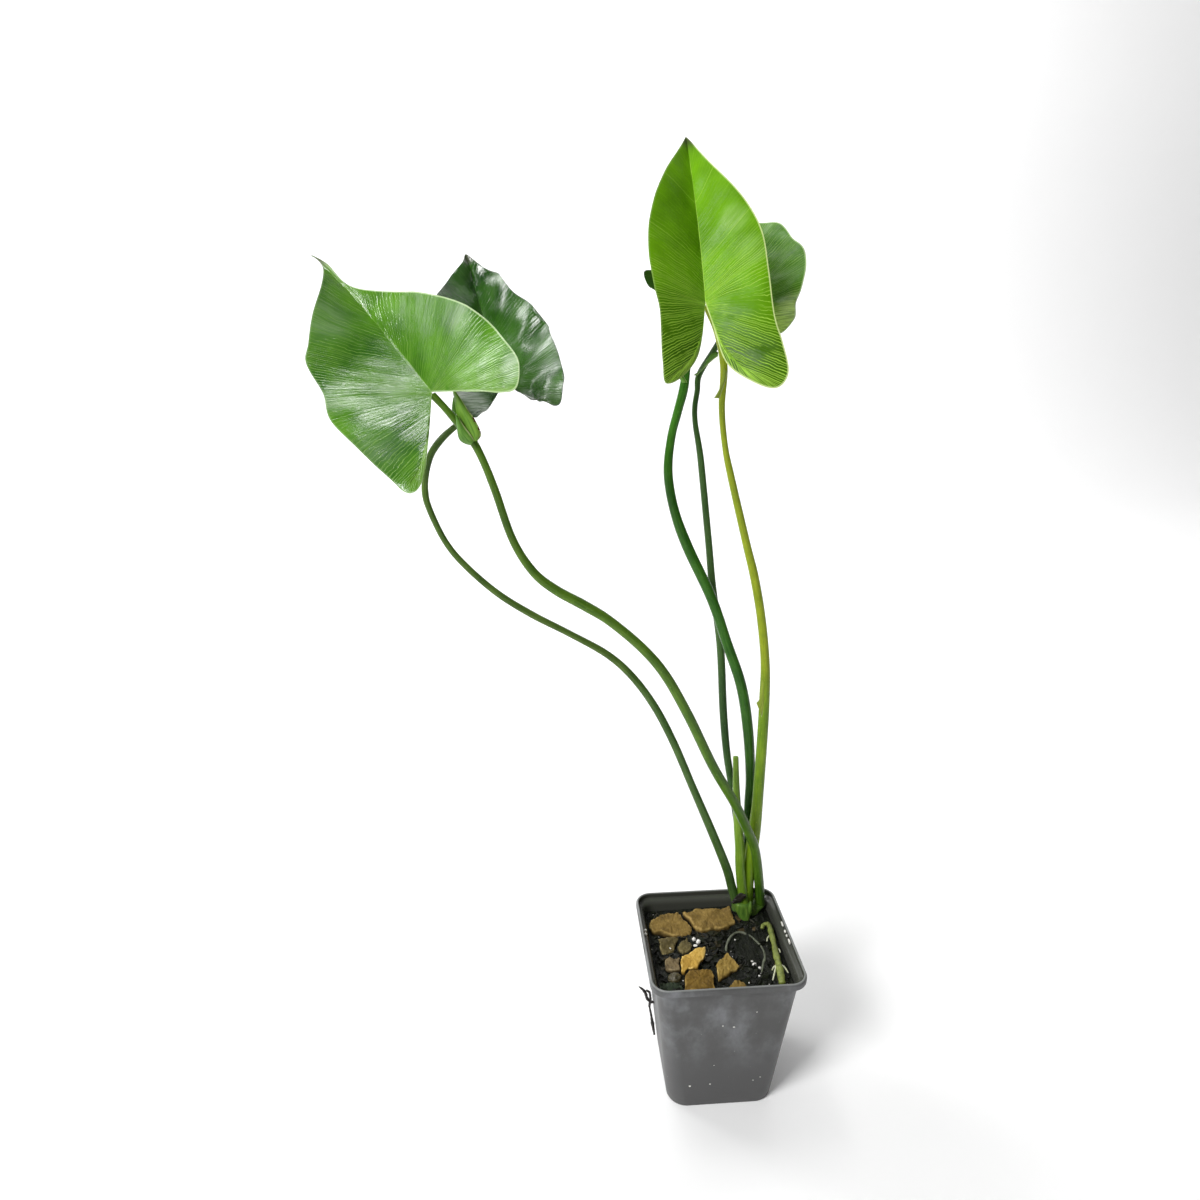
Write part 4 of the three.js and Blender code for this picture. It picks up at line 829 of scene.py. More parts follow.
# The crown: the short stem, wrapped in the feet of the leaf stalks. It is widest where the
# stalks leave it and narrows into the mix. Its roots go down through the mix.
CROWN_LEVELS = np.array([[27.5, 34, 72, 4, 3.6], [27.5, 35, 86, 6, 5], [28.5, 36.4, 94, 7, 5.6],
                         [30, 37.6, 98, 9, 6.2], [31.5, 38.8, 101.2, 11, 6.3], [31.5, 39, 102.2, 10.4, 6],
                         [31.5, 39, 103.2, 8.5, 4.6]])
LOBE_LEVELS = np.array([[28, 30, 90, 2, 2], [26.4, 27.8, 95.5, 2.6, 2.2], [25.8, 29, 99.5, 4, 3.2],
                        [25.2, 30.8, 104.5, 5.6, 4], [25, 32, 108.4, 6.6, 4.4], [25, 32.4, 109.6, 5.4, 3.4]])
BUD = [(29, 29.8, 100, 1.7), (29.3, 28.6, 104, 1.8), (29.5, 28.4, 108, 1.6), (29.6, 28.8, 111.5, 0.6)]
ROOTS = [
    [(30, 34, 80, 3.4), (24, 26, 66, 2.6), (12, 12, 48, 2.1), (0, -4, 30, 1.6), (-8, -20, 14, 0.9)],
    [(27, 34, 82, 3.2), (16, 30, 70, 2.4), (-2, 24, 52, 2), (-18, 22, 34, 1.5), (-24, 14, 16, 0.9)],
    [(33, 33, 80, 3.2), (34, 22, 62, 2.4), (30, 6, 44, 2), (28, -12, 26, 1.5), (20, -24, 12, 0.9)],
    [(31, 35, 78, 3), (27, 31, 58, 2.2), (22, 26, 38, 1.8), (12, 22, 20, 1.2), (6, 12, 10, 0.8)]]


def stump(levels, around, folds):
    """Ellipses one above the other, smoothed in height, with shallow folds round them that
    stand for the edges of the clasping sheaths."""
    path = smooth_route(levels, 6)
    turn = np.linspace(0, 2 * np.pi, around, endpoint=False)[None, :]
    wrap = 1 + 0.05 * np.abs(np.sin(folds * turn / 2 + path[:, 2:3] / 9)) + 0.02 * np.sin(5 * turn)
    x = path[:, 0:1] + path[:, 3:4] * wrap * np.cos(turn)
    y = path[:, 1:2] + path[:, 4:5] * wrap * np.sin(turn)
    rings = np.stack([x, y, path[:, 2:3] + 0 * turn], -1)
    ends = [[*path[0, :2], path[0, 2] - 1], [*path[-1, :2], path[-1, 2] + 0.5]]
    return np.concatenate([rings.reshape(-1, 3), ends]) * MM, ring_faces(len(path), around)


def crown_material():
    """Green living skin, with brown scars and papery flecks low down."""
    material, tree, shader = new_material("crown skin", 0.36, Specular_IOR_Level=0.3)
    streaks = speckle(tree, place_in(tree, (1, 1, 0.2)), 380, 4)
    colour = ramp(tree, streaks, [(0.3, (0.04, 0.1, 0.012)), (0.55, (0.1, 0.2, 0.025)),
                                  (0.75, (0.24, 0.34, 0.06))])
    scars = step(tree, speckle(tree, place_in(tree, (0.5, 0.5, 1.4)), 300, 4), 0.56, 0.7)
    low = step(tree, height_in(tree), 0.104, 0.097)
    colour = blend(tree, times(tree, scars, low), colour, (0.09, 0.05, 0.02))
    finish(tree, shader, colour, streaks, 0.0005)
    return material


crown_parts = [stump(CROWN_LEVELS, 72, 5), stump(LOBE_LEVELS, 48, 2), tube(BUD, 16, 8, (1, 0, 0))[:2]]
crown_parts += [tube(r, 12, 6, (0.2, 1, 0))[:2] for r in ROOTS]
dress(joined("crown_piece", crown_parts), crown_material(), "green_stem", "crown")

# Remnant of an old sheath: leaf skin, dead, dry and dark brown. It is curled round the foot of
# the back left stalk, where it grew, and is torn along its top.


def thick_sheet(verts, triangles, half_top, half_under):
    """Gives a sheet two faces and an edge. Each point moves along its normal, which is the
    sum of the normals of the triangles round it, by half_top up and half_under down. The
    edge joins the two along every side that belongs to one triangle only."""
    count = len(verts)
    a, b, c = verts[triangles[:, 0]], verts[triangles[:, 1]], verts[triangles[:, 2]]
    flat = np.cross(b - a, c - a)
    normal = np.zeros_like(verts)
    for k in range(3):
        np.add.at(normal, triangles[:, k], flat)
    normal /= np.maximum(np.linalg.norm(normal, axis=1), 1e-30)[:, None]
    lift, sink = (np.reshape(half, (-1, 1)) for half in (half_top, half_under))
    both = np.concatenate([verts + normal * lift, verts - normal * sink])
    edges = np.concatenate([triangles[:, [0, 1]], triangles[:, [1, 2]], triangles[:, [2, 0]]])
    lone = edges[~np.isin(edges[:, 0] * count + edges[:, 1], edges[:, 1] * count + edges[:, 0])]
    p, q = lone[:, 0], lone[:, 1]
    rim = np.concatenate([np.stack([q, p, p + count], -1), np.stack([q, p + count, q + count], -1)])
    return both, [np.concatenate([triangles, triangles[:, [0, 2, 1]] + count, rim])]


def grid_triangles(rows, columns):
    """Two triangles for each cell of a grid of points stored row by row."""
    i, j = np.meshgrid(np.arange(rows - 1), np.arange(columns - 1), indexing="ij")
    a = (i * columns + j).ravel()
    b, c, d = a + 1, a + columns + 1, a + columns
    return np.concatenate([np.stack([a, b, c], -1), np.stack([a, c, d], -1)])


OLD_SHEATH = (
    ((16.2, 30.2, 110.7), (18.6, 29.6, 114.8), (21.4, 28.6, 119), (23.4, 27.6, 119.3), (25.4, 27.2, 118.7)),
    ((17.5, 30.2, 109.4), (20.6, 29.4, 110.6), (22.6, 28.4, 111.9), (23.9, 27.6, 114.8),
     (25.8, 27.2, 116.9)))
OLD_SHEATH_HALF = 0.35


def sheet_between(first, second, bulge, rows, columns):
    """A thin curved sheet from one smooth edge line to another. Each cross line is bowed by
    the bulge vector, most in its middle."""
    edges = [smooth_route(line, rows // (len(line) - 1) + 1) for line in (first, second)]
    share = np.linspace(0, 1, rows)
    one, two = (np.stack([np.interp(share, np.linspace(0, 1, len(e)), e[:, k]) for k in range(3)], -1)
                for e in edges)
    w = np.linspace(0, 1, columns)[None, :, None]
    return one[:, None] * (1 - w) + two[:, None] * w + 4 * w * (1 - w) * np.array(bulge, float)


def old_sheath_mesh():
    """A scale between an upper and a lower edge line, wrinkled and torn along the top."""
    sheet = sheet_between(*OLD_SHEATH, (0, -0.7, 0.4), 40, 14)
    rows, columns = sheet.shape[:2]
    flat = sheet.reshape(-1, 3)
    flat = flat + np.array([[0.1, -0.3, 0.5]]) * roughened(flat, 3, 1, 31)[:, None]
    half = OLD_SHEATH_HALF * MM
    return thick_sheet(flat * MM, grid_triangles(rows, columns), half, half)


old_skin = skin_of_root("dry sheath", (0.003, 0.003, 0.002), (0.018, 0.014, 0.008))
dress(mesh_of("dry_sheath", *old_sheath_mesh()), old_skin, "dry_sheath", "old_sheath")

# Leaf stalks: round, firm and slightly waxy, each clasping the crown at its foot. The front
# right one is yellow-green and still wears its sheath. One older stalk was cut off square.
STALKS = {
    "front_left": [(39.3, 38.5, 101.6, 3.4), (37.2, 35.5, 119.1, 3.4), (31.2, 29.3, 152.3, 3.2),
        (22.6, 23.5, 174.6, 3.2), (12.3, 18, 197.5, 3.2), (-4.3, 12, 228.6, 3.15),
        (-22, 5, 267.5, 3.13), (-37.6, 0, 297.5, 3.04), (-52.5, -4, 317.5, 2.9),
        (-71.9, -7, 336.2, 2.83), (-86.6, -9, 346.8, 3.01), (-103.7, -10, 357.5, 2.82),
        (-116, -11, 369, 2.51), (-126.5, -12, 387.8, 2.26), (-134.9, -14, 415.9, 2.2),
        (-140.7, -14, 432.3, 2.1), (-145.8, -14, 442.8, 2.2), (-151.9, -15, 451, 2.2),
        (-159.1, -15.2, 460, 1.85), (-165, -15.4, 466.7, 1.97)],
    "front_right": [(30, 37.5, 101.6, 3.6), (30.1, 37.5, 132.1, 3.6), (32.3, 37, 162.3, 3.8),
        (32.5, 35, 198.8, 3.7), (32.6, 33, 235, 3.5), (32, 31, 267, 3.4), (30.5, 29, 293, 2.94),
        (26, 27, 322.9, 2.8), (19.8, 24, 350, 2.73), (12.9, 21, 373, 2.45), (0.2, 13, 414.8, 2.12),
        (-5.1, 9, 434, 1.75), (-8.5, 5.5, 456, 1.8), (-8.5, 4, 478, 2.1), (-13, 2.5, 496, 1.9),
        (-20, -0.4, 509.8, 1.8)],
    "back_left": [(21.2, 34.5, 101.6, 3.3), (20.6, 34.5, 108.2, 3.3), (17, 34.8, 120.7, 3.2),
        (12.5, 34, 136.8, 3.2), (1.4, 35, 165.7, 2.98), (-12.5, 37, 199.8, 2.67),
        (-25.6, 39, 232.2, 2.63), (-38.5, 41, 258.3, 2.59), (-53.4, 43, 279.7, 2.48),
        (-69.9, 45, 295.2, 2.37), (-94.2, 47, 309.7, 2.1), (-117.2, 48, 322.6, 2.24),
        (-138.8, 49, 337.3, 2.13), (-158.2, 50, 355.8, 2.03), (-169.9, 51, 371.5, 1.93),
        (-178.4, 52, 391.8, 1.98), (-180.5, 53, 403, 2.12), (-179, 53, 414, 1.9),
        (-175.5, 53, 425.2, 2.17), (-169, 53, 434, 2.23), (-161, 53, 441, 1.9), (-150, 52.5, 449, 1.9),
        (-138, 52.2, 460, 1.8), (-131.2, 52, 466, 1.7)],
    "back_right": [(25.6, 41.5, 101.6, 2.6), (24.4, 41.8, 142.6, 2.6), (21.4, 44, 164.9, 2.6),
        (16.7, 46.3, 193.8, 2.6), (12.5, 48, 219, 2.62), (9.6, 51, 249, 2.68), (6.7, 56, 296, 2.6),
        (0.9, 59, 334, 2.5), (-2.2, 61, 363, 2.3), (-7.9, 63, 411, 2.17), (-9.9, 63.5, 425, 1.99),
        (-12.6, 64.5, 439.9, 1.74), (-13.1, 65, 450, 1.73), (-11.8, 65.3, 460, 1.72),
        (-10.8, 65.7, 469.5, 1.9), (-2, 66.3, 484, 1.8), (8, 66.8, 500, 1.8), (15.2, 66.8, 511, 1.7)],
    "rear": [(31.7, 43.4, 101.6, 3), (30, 44.5, 143.8, 3.1), (28.9, 44.5, 176.2, 3.2),
        (28.8, 44.3, 202.9, 3.3), (25.2, 43.5, 238.7, 3.6), (19.2, 44, 270.7, 3.54),
        (8.5, 45, 301.1, 3.4), (-2.2, 46, 331, 3.4), (-18.8, 48, 366.1, 3.43), (-27.3, 49, 389.4, 2.99),
        (-31.2, 50.5, 412, 2.88), (-29.5, 52, 432.9, 2.62), (-25.6, 53, 448.9, 2.68),
        (-22.3, 53.5, 462, 2.82), (-20.5, 54.5, 476, 2.4), (-19, 55.2, 492, 2.2), (-18, 55.8, 510.8, 2)],
    "cut": [(27.8, 32.3, 101.6, 3.5), (26.2, 32.3, 107.9, 3.5), (23.5, 32.5, 123.7, 3.4),
        (21.8, 33, 140.6, 3.4), (21, 33.3, 154.9, 3.3), (19.4, 33.5, 170, 3.1), (17, 34, 197.8, 2.4),
        (15.6, 34.3, 222.7, 1.85)],
}
FOOT_ENDS, SKIN_STARTS = 0.255, 0.3     # heights in metres between which the colours change
STALK_COLOURS = {   # dark and light skin high up, then both at the foot
    "front_left": ((0.035, 0.1, 0.007), (0.11, 0.21, 0.018), (0.03, 0.09, 0.006), (0.09, 0.19, 0.014)),
    "front_right": ((0.16, 0.22, 0.006), (0.33, 0.4, 0.015), (0.08, 0.175, 0.005), (0.19, 0.31, 0.012)),
    "back_left": ((0.03, 0.07, 0.01), (0.1, 0.17, 0.03), (0.026, 0.07, 0.012), (0.08, 0.155, 0.036)),
    "back_right": ((0.02, 0.06, 0.012), (0.06, 0.13, 0.03), (0.012, 0.045, 0.008), (0.04, 0.1, 0.02)),
    "rear": ((0.012, 0.07, 0.004), (0.045, 0.16, 0.012), (0.012, 0.06, 0.004), (0.04, 0.14, 0.012)),
    "cut": ((0.06, 0.17, 0.008), (0.16, 0.32, 0.018), (0.075, 0.17, 0.01), (0.19, 0.32, 0.03)),
}


def grooved(share, angle):
    """A stalk's section: round, with a shallow groove on its upper side."""
    return 1 - 0.07 * np.exp(-((angle - np.pi / 2) / 0.35) ** 2) + 0.012 * np.sin(9 * angle)


def stalk_material(name, dark, light, foot_dark, foot_light):
    """Green skin with long fine streaks, paler blotches and minute pale dots, and another
    shade below the sheath."""
    material, tree, shader = new_material(name + " stalk skin", 0.26, Specular_IOR_Level=0.2)
    along = times(tree, mark(tree, "along_mm"), 0.02)
    skin = {0: mark(tree, "turn_x"), 1: mark(tree, "turn_y"), 2: along}
    streaks = speckle(tree, node(tree, "ShaderNodeCombineXYZ", skin).outputs[0], 3.5, 5, 0.6)
    clouds = speckle(tree, place_in(tree), 45, 3)
    both = scaled(tree, streaks, 0.5, times(tree, clouds, 0.5))
    low, high = (ramp(tree, both, [(0.35, deep), (0.65, pale)])
                 for deep, pale in ((foot_dark, foot_light), (dark, light)))
    colour = blend(tree, step(tree, height_in(tree), FOOT_ENDS, SKIN_STARTS), low, high)
    dots = step(tree, speckle(tree, place_in(tree, (1, 1, 0.5)), 1400, 2), 0.66, 0.72)
    colour = blend(tree, times(tree, dots, 0.35), colour, tuple(min(1, 1.8 * c + 0.05) for c in light))
    finish(tree, shader, colour, streaks, 0.0003, 0.6)
    return material


def stalk_mesh(name, route, sides, per_span):
    """A grooved tube along a route, with its place along and round the stalk as marks."""
    verts, faces, marks = tube(route, sides, per_span, (0, 1, 0), grooved)
    made = mesh_of(name, verts, faces, sharp=60)
    for key, values in marks.items():
        add_attribute(made, key, values)
    return made


stalk_skins = {name: stalk_material(name, *colours) for name, colours in STALK_COLOURS.items()}
for name, route in STALKS.items():
    made = stalk_mesh("petiole_" + name, route, 28, 8)
    dress(made, stalk_skins[name], "green_stem", "stalk_" + name)

# The foot of the front right leaf's sheath. It wraps the stalk, fills the space beside the cut
# stalk and closes round the crown, with which it is grown together.
SHEATH_FOOT = [(27, 34.8, 101.6, 4.7), (27.5, 35.5, 112, 4.7), (28.4, 36.1, 126, 4.5),
               (29.8, 36.6, 145, 4.15), (31.4, 36.6, 165, 3.95), (32.3, 36, 180, 3.85),
               (32.4, 35.4, 192, 3.6)]
dress(stalk_mesh("sheath_foot", SHEATH_FOOT, 32, 10), stalk_skins["front_right"], "green_stem")

# Sheath tips: thin folded flaps at the upper end of each stalk's sheath, light green with a
# pale margin. Those of the front left leaf still hug its stalk, and one is torn and brown.
SHEATH_TIPS = {
    "front_left_wing": (
        [(-154.3, -18, 469.9), (-153.5, -17, 463.1), (-152.6, -16, 456.3), (-149.2, -15.5, 448.4),
         (-145.3, -15, 442.6)],
        [(-153.8, -18.5, 469.7), (-150.6, -19.5, 465.4), (-147.1, -19.5, 459.5), (-143.5, -19, 454.1),
         (-140.8, -18, 446.7), (-143.1, -16.5, 442.7)], (0.3, -2, 0.3), "torn"),
    "front_left_fold": (
        [(-153.3, -18, 456.1), (-153.1, -17.5, 450.3), (-152.4, -17, 444.3), (-150, -16.5, 441.8),
         (-146.9, -16, 440.6)],
        [(-153, -18.5, 457.1), (-149.8, -18.8, 451.5), (-146.5, -18.5, 446.7), (-144.6, -17.5, 442.9)],
        (0, -1.4, 0), "green"),
    "front_right_tip": (
        [(-9.1, 1, 477.4), (-9.8, 0.5, 472), (-11.3, 0, 466.6), (-14.2, -0.5, 461.7)],
        [(-7.3, 1.5, 475.8), (-8.2, 0.5, 471.3), (-10, 0.2, 465.8), (-11, 0.5, 461.9)],
        (0, -0.8, 0), "yellow"),
    "front_right_notch": (
        [(29.1, 29, 288.7), (28.7, 28.5, 279.1), (28, 28.5, 267.9), (26.1, 28.5, 264.4)],
        [(30.6, 28, 285.7), (30.7, 28, 273.7), (31.2, 28.5, 262.6), (30.2, 29, 254.2)],
        (0, -0.6, 0), "yellow"),
    "back_right_tip": (
        [(0.5, 66, 482.5), (-2.4, 65.5, 483.5), (-6.5, 64.5, 478.4), (-10.1, 63.5, 472.4),
         (-14.3, 63, 469.5)],
        [(0.5, 66, 480.5), (-3.1, 65.5, 477.9), (-7.2, 64.5, 474.5), (-11.8, 63.5, 470.3),
         (-14.2, 63, 469.2)],
        (-0.2, -1, 0.4), "green"),
    "back_left_tip": (
        [(-158, 50.5, 444), (-161, 50, 451), (-160, 50.5, 459)],
        [(-155.5, 50.5, 444), (-158.5, 49.5, 451), (-159.4, 50.4, 458.6)], (0, -0.8, 0), "green"),
    "rear_tip": (
        [(-23.5, 51.5, 466), (-27, 51.5, 472), (-27.3, 52.3, 480)],
        [(-20.8, 51.2, 466), (-24.2, 51.2, 472), (-26.6, 52.2, 479.6)], (0, -0.8, 0), "green"),
}
TIP_COLOURS = {"torn": ((0.06, 0.17, 0.012), (0.17, 0.33, 0.03)),
               "green": ((0.05, 0.15, 0.015), (0.14, 0.3, 0.04)),
               "yellow": ((0.14, 0.2, 0.01), (0.3, 0.38, 0.04))}
TIP_HALF = 0.22


def sheath_tip_mesh(name, first, second, bulge):
    """A thin sheet between two edge lines, with its place across and along as marks."""
    sheet = sheet_between(first, second, bulge, 30, 10)
    rows, columns = sheet.shape[:2]
    half = TIP_HALF * MM
    verts, faces = thick_sheet(sheet.reshape(-1, 3) * MM, grid_triangles(rows, columns), half, half)
    made = mesh_of(name, verts, faces, sharp=75)
    add_attribute(made, "across", np.tile(np.tile(np.linspace(0, 1, columns), rows), 2))
    add_attribute(made, "along", np.tile(np.repeat(np.linspace(0, 1, rows), columns), 2))
    return made


def sheath_tip_material(look):
    """Thin green sheath with fine lines along it and a pale margin. A torn one has dry brown
    patches along its margin."""
    material, tree, shader = new_material(look + " sheath tip", 0.4, Specular_IOR_Level=0.25)
    across, along = mark(tree, "across"), mark(tree, "along")
    place = node(tree, "ShaderNodeCombineXYZ", {0: across, 1: times(tree, along, 0.15)}).outputs[0]
    lines = speckle(tree, place, 14, 3)
    dark, light = TIP_COLOURS[look]
    colour = ramp(tree, lines, [(0.35, dark), (0.65, light)])
    margin = step(tree, across, 0.88, 0.97)
    colour = blend(tree, times(tree, margin, 0.8), colour, (0.5, 0.55, 0.25))
    if look == "torn":
        dry = step(tree, times(tree, across, speckle(tree, place_in(tree), 260, 3)), 0.44, 0.5)
        dry = times(tree, dry, step(tree, along, 0.35, 0.5))
        colour = blend(tree, dry, colour, (0.07, 0.03, 0.008))
    finish(tree, shader, colour, lines, 0.0002)
    return material


tip_skins = {look: sheath_tip_material(look) for look in TIP_COLOURS}
for name, (first, second, bulge, look) in SHEATH_TIPS.items():
    dress(sheath_tip_mesh("sheath_" + name, first, second, bulge), tip_skins[look], "green_stem")

# Leaf blades: leathery, with a pale midrib, a few main side veins and many fine ones. Each is
# folded along its midrib and waved at its margin. An outline runs from the tip round the lobe
# to the stalk, as distances toward the tip and from the midrib, in millimetres.
REAR_SIDE = [(84, 0), (75.5, 3.6), (65, 10.4), (51.5, 19), (36, 25.5), (17, 29), (0, 29), (-15, 28),
             (-27, 26.5), (-35, 24), (-38.5, 19), (-35, 13), (-27, 8), (-14, 3.6), (0, 0)]
LEAVES = {
    "front_left": dict(
        end=(-165.2, -15, 468.1), azimuth=122, elevation=29, roll=-7.5, fold=(28, 38), curl=0.0031,
        arch=-0.0045, droop=(0.003, 0.002), twist=-5e-5, sweep=-0.00028, hook=(0.0097, 104),
        pucker=0.6, wave=1.6, waves=3.5, phase=(2.6, 0.5),
        left=[(117, 0), (108, 0.9), (93.5, 12.4), (75.7, 27.9), (59, 40.2), (49.9, 47.3), (28.9, 48.5),
              (9.2, 52.2), (-16.4, 48.9), (-38.5, 44.8), (-52.1, 41.6), (-53.3, 34.5), (-42.2, 24.6),
              (-19.1, 10.3), (0, 0)],
        right=[(117, 0), (106, 1.2), (90.3, 2.9), (73.6, 13.9), (48.7, 29.8), (16.1, 44.5), (-9, 51.8),
               (-29.9, 53.1), (-45.4, 52.2), (-51.5, 48.7), (-53.9, 41.2), (-46.6, 33), (-33, 23.4),
               (-15.7, 10.8), (0, 0)]),
    "front_right": dict(
        end=(-21.1, -2, 511.3), azimuth=92, elevation=63, roll=-3, fold=(40, 34), curl=0.0089,
        arch=0.0017, droop=(0, 0), twist=2e-5, sweep=-0.00014, hook=(0, 0),
        pucker=0.35, wave=1, waves=3, phase=(0.4, 2.4),
        left=[(103.6, 0), (90.7, 6.9), (72.8, 18.7), (54.3, 28.4), (35, 34.8), (16.4, 37.4),
              (0.2, 35.8), (-11.4, 32.9), (-23.8, 32.9), (-39.5, 33.4), (-51.6, 32.6), (-45.5, 20.8),
              (-31.9, 9.3), (-15.9, 3.3), (0, 0)],
        right=[(103.6, 0), (96.6, 3.9), (79.8, 12.2), (62.2, 21.6), (45.3, 29.2), (30.1, 33.7),
               (12.2, 35), (-13.9, 35.9), (-29.5, 38.3), (-45.9, 39.7), (-53.1, 33.1), (-47.9, 21.5),
               (-35.5, 9), (-16.2, 4), (0, 0)]),
    "back_left": dict(
        end=(-130.5, 52, 467), azimuth=103, elevation=32, roll=-9, fold=(43, 40), curl=-0.0011,
        arch=-0.0037, droop=(-0.0022, -0.0012), twist=0, sweep=0, hook=(0, 0),
        pucker=1.5, wave=2.2, waves=5, phase=(0, 1),
        left=[(110.3, 0), (101.1, 5.2), (87.4, 18.7), (62.9, 33.6), (46.7, 37.8), (22.4, 41.7),
              (0, 41.2), (-21, 40.8), (-38, 40.2), (-50.5, 38.1), (-56.3, 32.5), (-51.3, 25.8),
              (-38, 18), (-19.4, 9.4), (0, 0)],
        right=[(110.3, 0), (94.5, 9.6), (79.2, 21.6), (52, 28.1), (31.2, 38.7), (7.3, 42.6),
               (-18.7, 42.8), (-29.2, 42.8), (-44, 40.5), (-54, 35.5), (-56.5, 30.5), (-49.5, 24.2),
               (-36.8, 17.6), (-18.7, 8.8), (0, 0)]),
    "back_right": dict(
        end=(16, 67, 512), azimuth=77, elevation=37, roll=-2, fold=(52, 52), curl=0,
        arch=0.0005, droop=(0.0046, -0.003), twist=0, sweep=0, hook=(0, 0),
        pucker=0.9, wave=2.2, waves=4.5, phase=(0, 2),
        left=[(94.5, 0), (85, 4.2), (72.8, 12.3), (57.7, 22.2), (39.7, 30.2), (19, 35), (0, 36),
              (-19, 36.5), (-34.3, 36), (-45.8, 33.7), (-51.6, 27.6), (-47.7, 20.3), (-36.2, 12.2),
              (-19, 5.2), (0, 0)],
        right=[(94.5, 0), (85, 4.6), (73, 13), (61.7, 21.9), (45.4, 30.9), (29, 38), (5.1, 38.1),
               (-11.3, 37.5), (-24.1, 33.3), (-42, 30), (-49, 25.5), (-46.3, 19.4), (-35.7, 12),
               (-18.8, 5), (0, 0)]),
    "rear": dict(
        end=(-17.8, 56, 512), azimuth=90, elevation=12, roll=13.5, fold=(38, 52), curl=0.004,
        arch=-0.002, droop=(0.001, 0.001), twist=0, sweep=0, hook=(0, 0),
        pucker=0.5, wave=1.4, waves=4, phase=(0, 2),
        left=REAR_SIDE, right=REAR_SIDE),
}
MIDRIB_SHARES = (1, 0.8, 0.6, 0.385, 0.2, 0.055, 0)   # where the veins leave the midrib
LOBE_SHARES = (0.88, 0.45, 0.2, 0.06, 0)              # where they leave the lobe's rib
STATIONS, LOBE_END = 14, 10
MAIN_VEINS = (0, 1.25, 2.15, 3.05, 3.95, 4.75, 5.5, 6.3, 7.3, 8.3, 9.2, 10, 11, 12.4, 14)
PER_STATION = 12
BLADE_HALF, MARGIN_LOSS, QUILT, RIB_ABOVE, RIB_BELOW = 0.3, 0.17, 0.45, 0.28, 0.95
VEIN_STEPS = np.concatenate([[0, 0.012, 0.025, 0.042, 0.065], np.linspace(0.1, 1, 19)])


def turned(vector, axis, angle):
    """A vector turned about an axis."""
    return (vector * np.cos(angle) + np.cross(axis, vector) * np.sin(angle)
            + axis * np.dot(axis, vector) * (1 - np.cos(angle)))


def lobe_rib(outline, share):
    """Points of the rib in a basal lobe, at shares of its length. It starts along the sinus
    edge, from which it leaves more and more, and ends in the middle of the lobe's end."""
    station = np.interp(share, (0, 0.34, 0.65, 0.87, 1), (14, 13, 12, 11, 10)) * PER_STATION
    rows = np.arange(len(outline))
    edge = np.stack([np.interp(station, rows, outline[:, k]) for k in (0, 1)], -1)
    near = 0.96 * (1 - np.asarray(share) ** 3)[..., None]
    return (1 - near) * np.asarray(share)[..., None] * outline[LOBE_END * PER_STATION] + near * edge


def half_blade(leaf, side):
    """One half of a blade as a grid of points, and the marks of each point. Row m is a vein
    that runs from the rib to the outline, bowed toward the stalk. The flat half is then
    rolled up from the fold, bent along the midrib, twisted toward the tip and waved."""
    which = 0 if side < 0 else 1
    m = np.linspace(0, STATIONS, STATIONS * PER_STATION + 1)
    outline = smooth_route(leaf["left" if side < 0 else "right"], PER_STATION, held=True)
    length = outline[0, 0]
    u_mid = length * np.interp(m, np.arange(7), MIDRIB_SHARES)
    reach = np.interp(np.abs(m - LOBE_END), np.arange(5), LOBE_SHARES)
    rib = np.where((m <= 6)[:, None], np.stack([u_mid, 0 * m], -1), lobe_rib(outline, reach))
    t = VEIN_STEPS[None, :]
    vein = outline - rib
    run = np.linalg.norm(vein, axis=1)[:, None]
    bow = 0.12 * run * t * (1 - t) * np.clip((LOBE_END - m) / LOBE_END, 0, None)[:, None]
    u = rib[:, :1] + vein[:, :1] * t - bow
    v = rib[:, 1:] + vein[:, 1:] * t
    m = m[:, None]
    fold = np.radians(leaf["fold"][which])
    curl = leaf["curl"] if abs(leaf["curl"]) > 1e-5 else 1e-5
    over = (np.sin(fold) - np.sin(fold - curl * v)) / curl
    fade = np.minimum(1, m) * np.clip((12 - m) / 3, 0, 1)
    swing = np.sin(leaf["waves"] * 2 * np.pi * m / STATIONS + leaf["phase"][which])
    wave = leaf["wave"] * t ** 2 * fade * swing
    rise = (np.cos(fold - curl * v) - np.cos(fold)) / curl + wave
    k = np.where(u > 0, leaf["arch"], leaf["droop"][which])
    k = np.where(np.abs(k) < 1e-5, 1e-5, k)
    twist = leaf["twist"] * np.maximum(u, 0) ** 2
    along = np.sin(k * u) / k + rise * np.sin(k * u)
    up = (-(1 - np.cos(k * u)) / k + rise * np.cos(k * u) + side * over * np.sin(twist)
          + rise * (np.cos(twist) - 1))
    across = side * over * np.cos(twist) - rise * np.sin(twist) + leaf["sweep"] * np.maximum(u, 0) ** 2
    across = across - leaf["hook"][0] * np.maximum(0, u - leaf["hook"][1]) ** 2
    az, el = np.radians([leaf["azimuth"], leaf["elevation"]])
    tip = np.array([np.cos(el) * np.cos(az), np.cos(el) * np.sin(az), np.sin(el)])
    face = np.array([0, -1.0, 0]) - tip * np.dot(tip, [0, -1.0, 0])
    right = turned(np.cross(tip, face / np.linalg.norm(face)), tip, -np.radians(leaf["roll"]))
    normal = np.cross(right, tip)
    points = (np.array(leaf["end"]) + along[..., None] * tip + across[..., None] * right
              + up[..., None] * normal)
    return points, marks_of(u, v, m, t, outline)


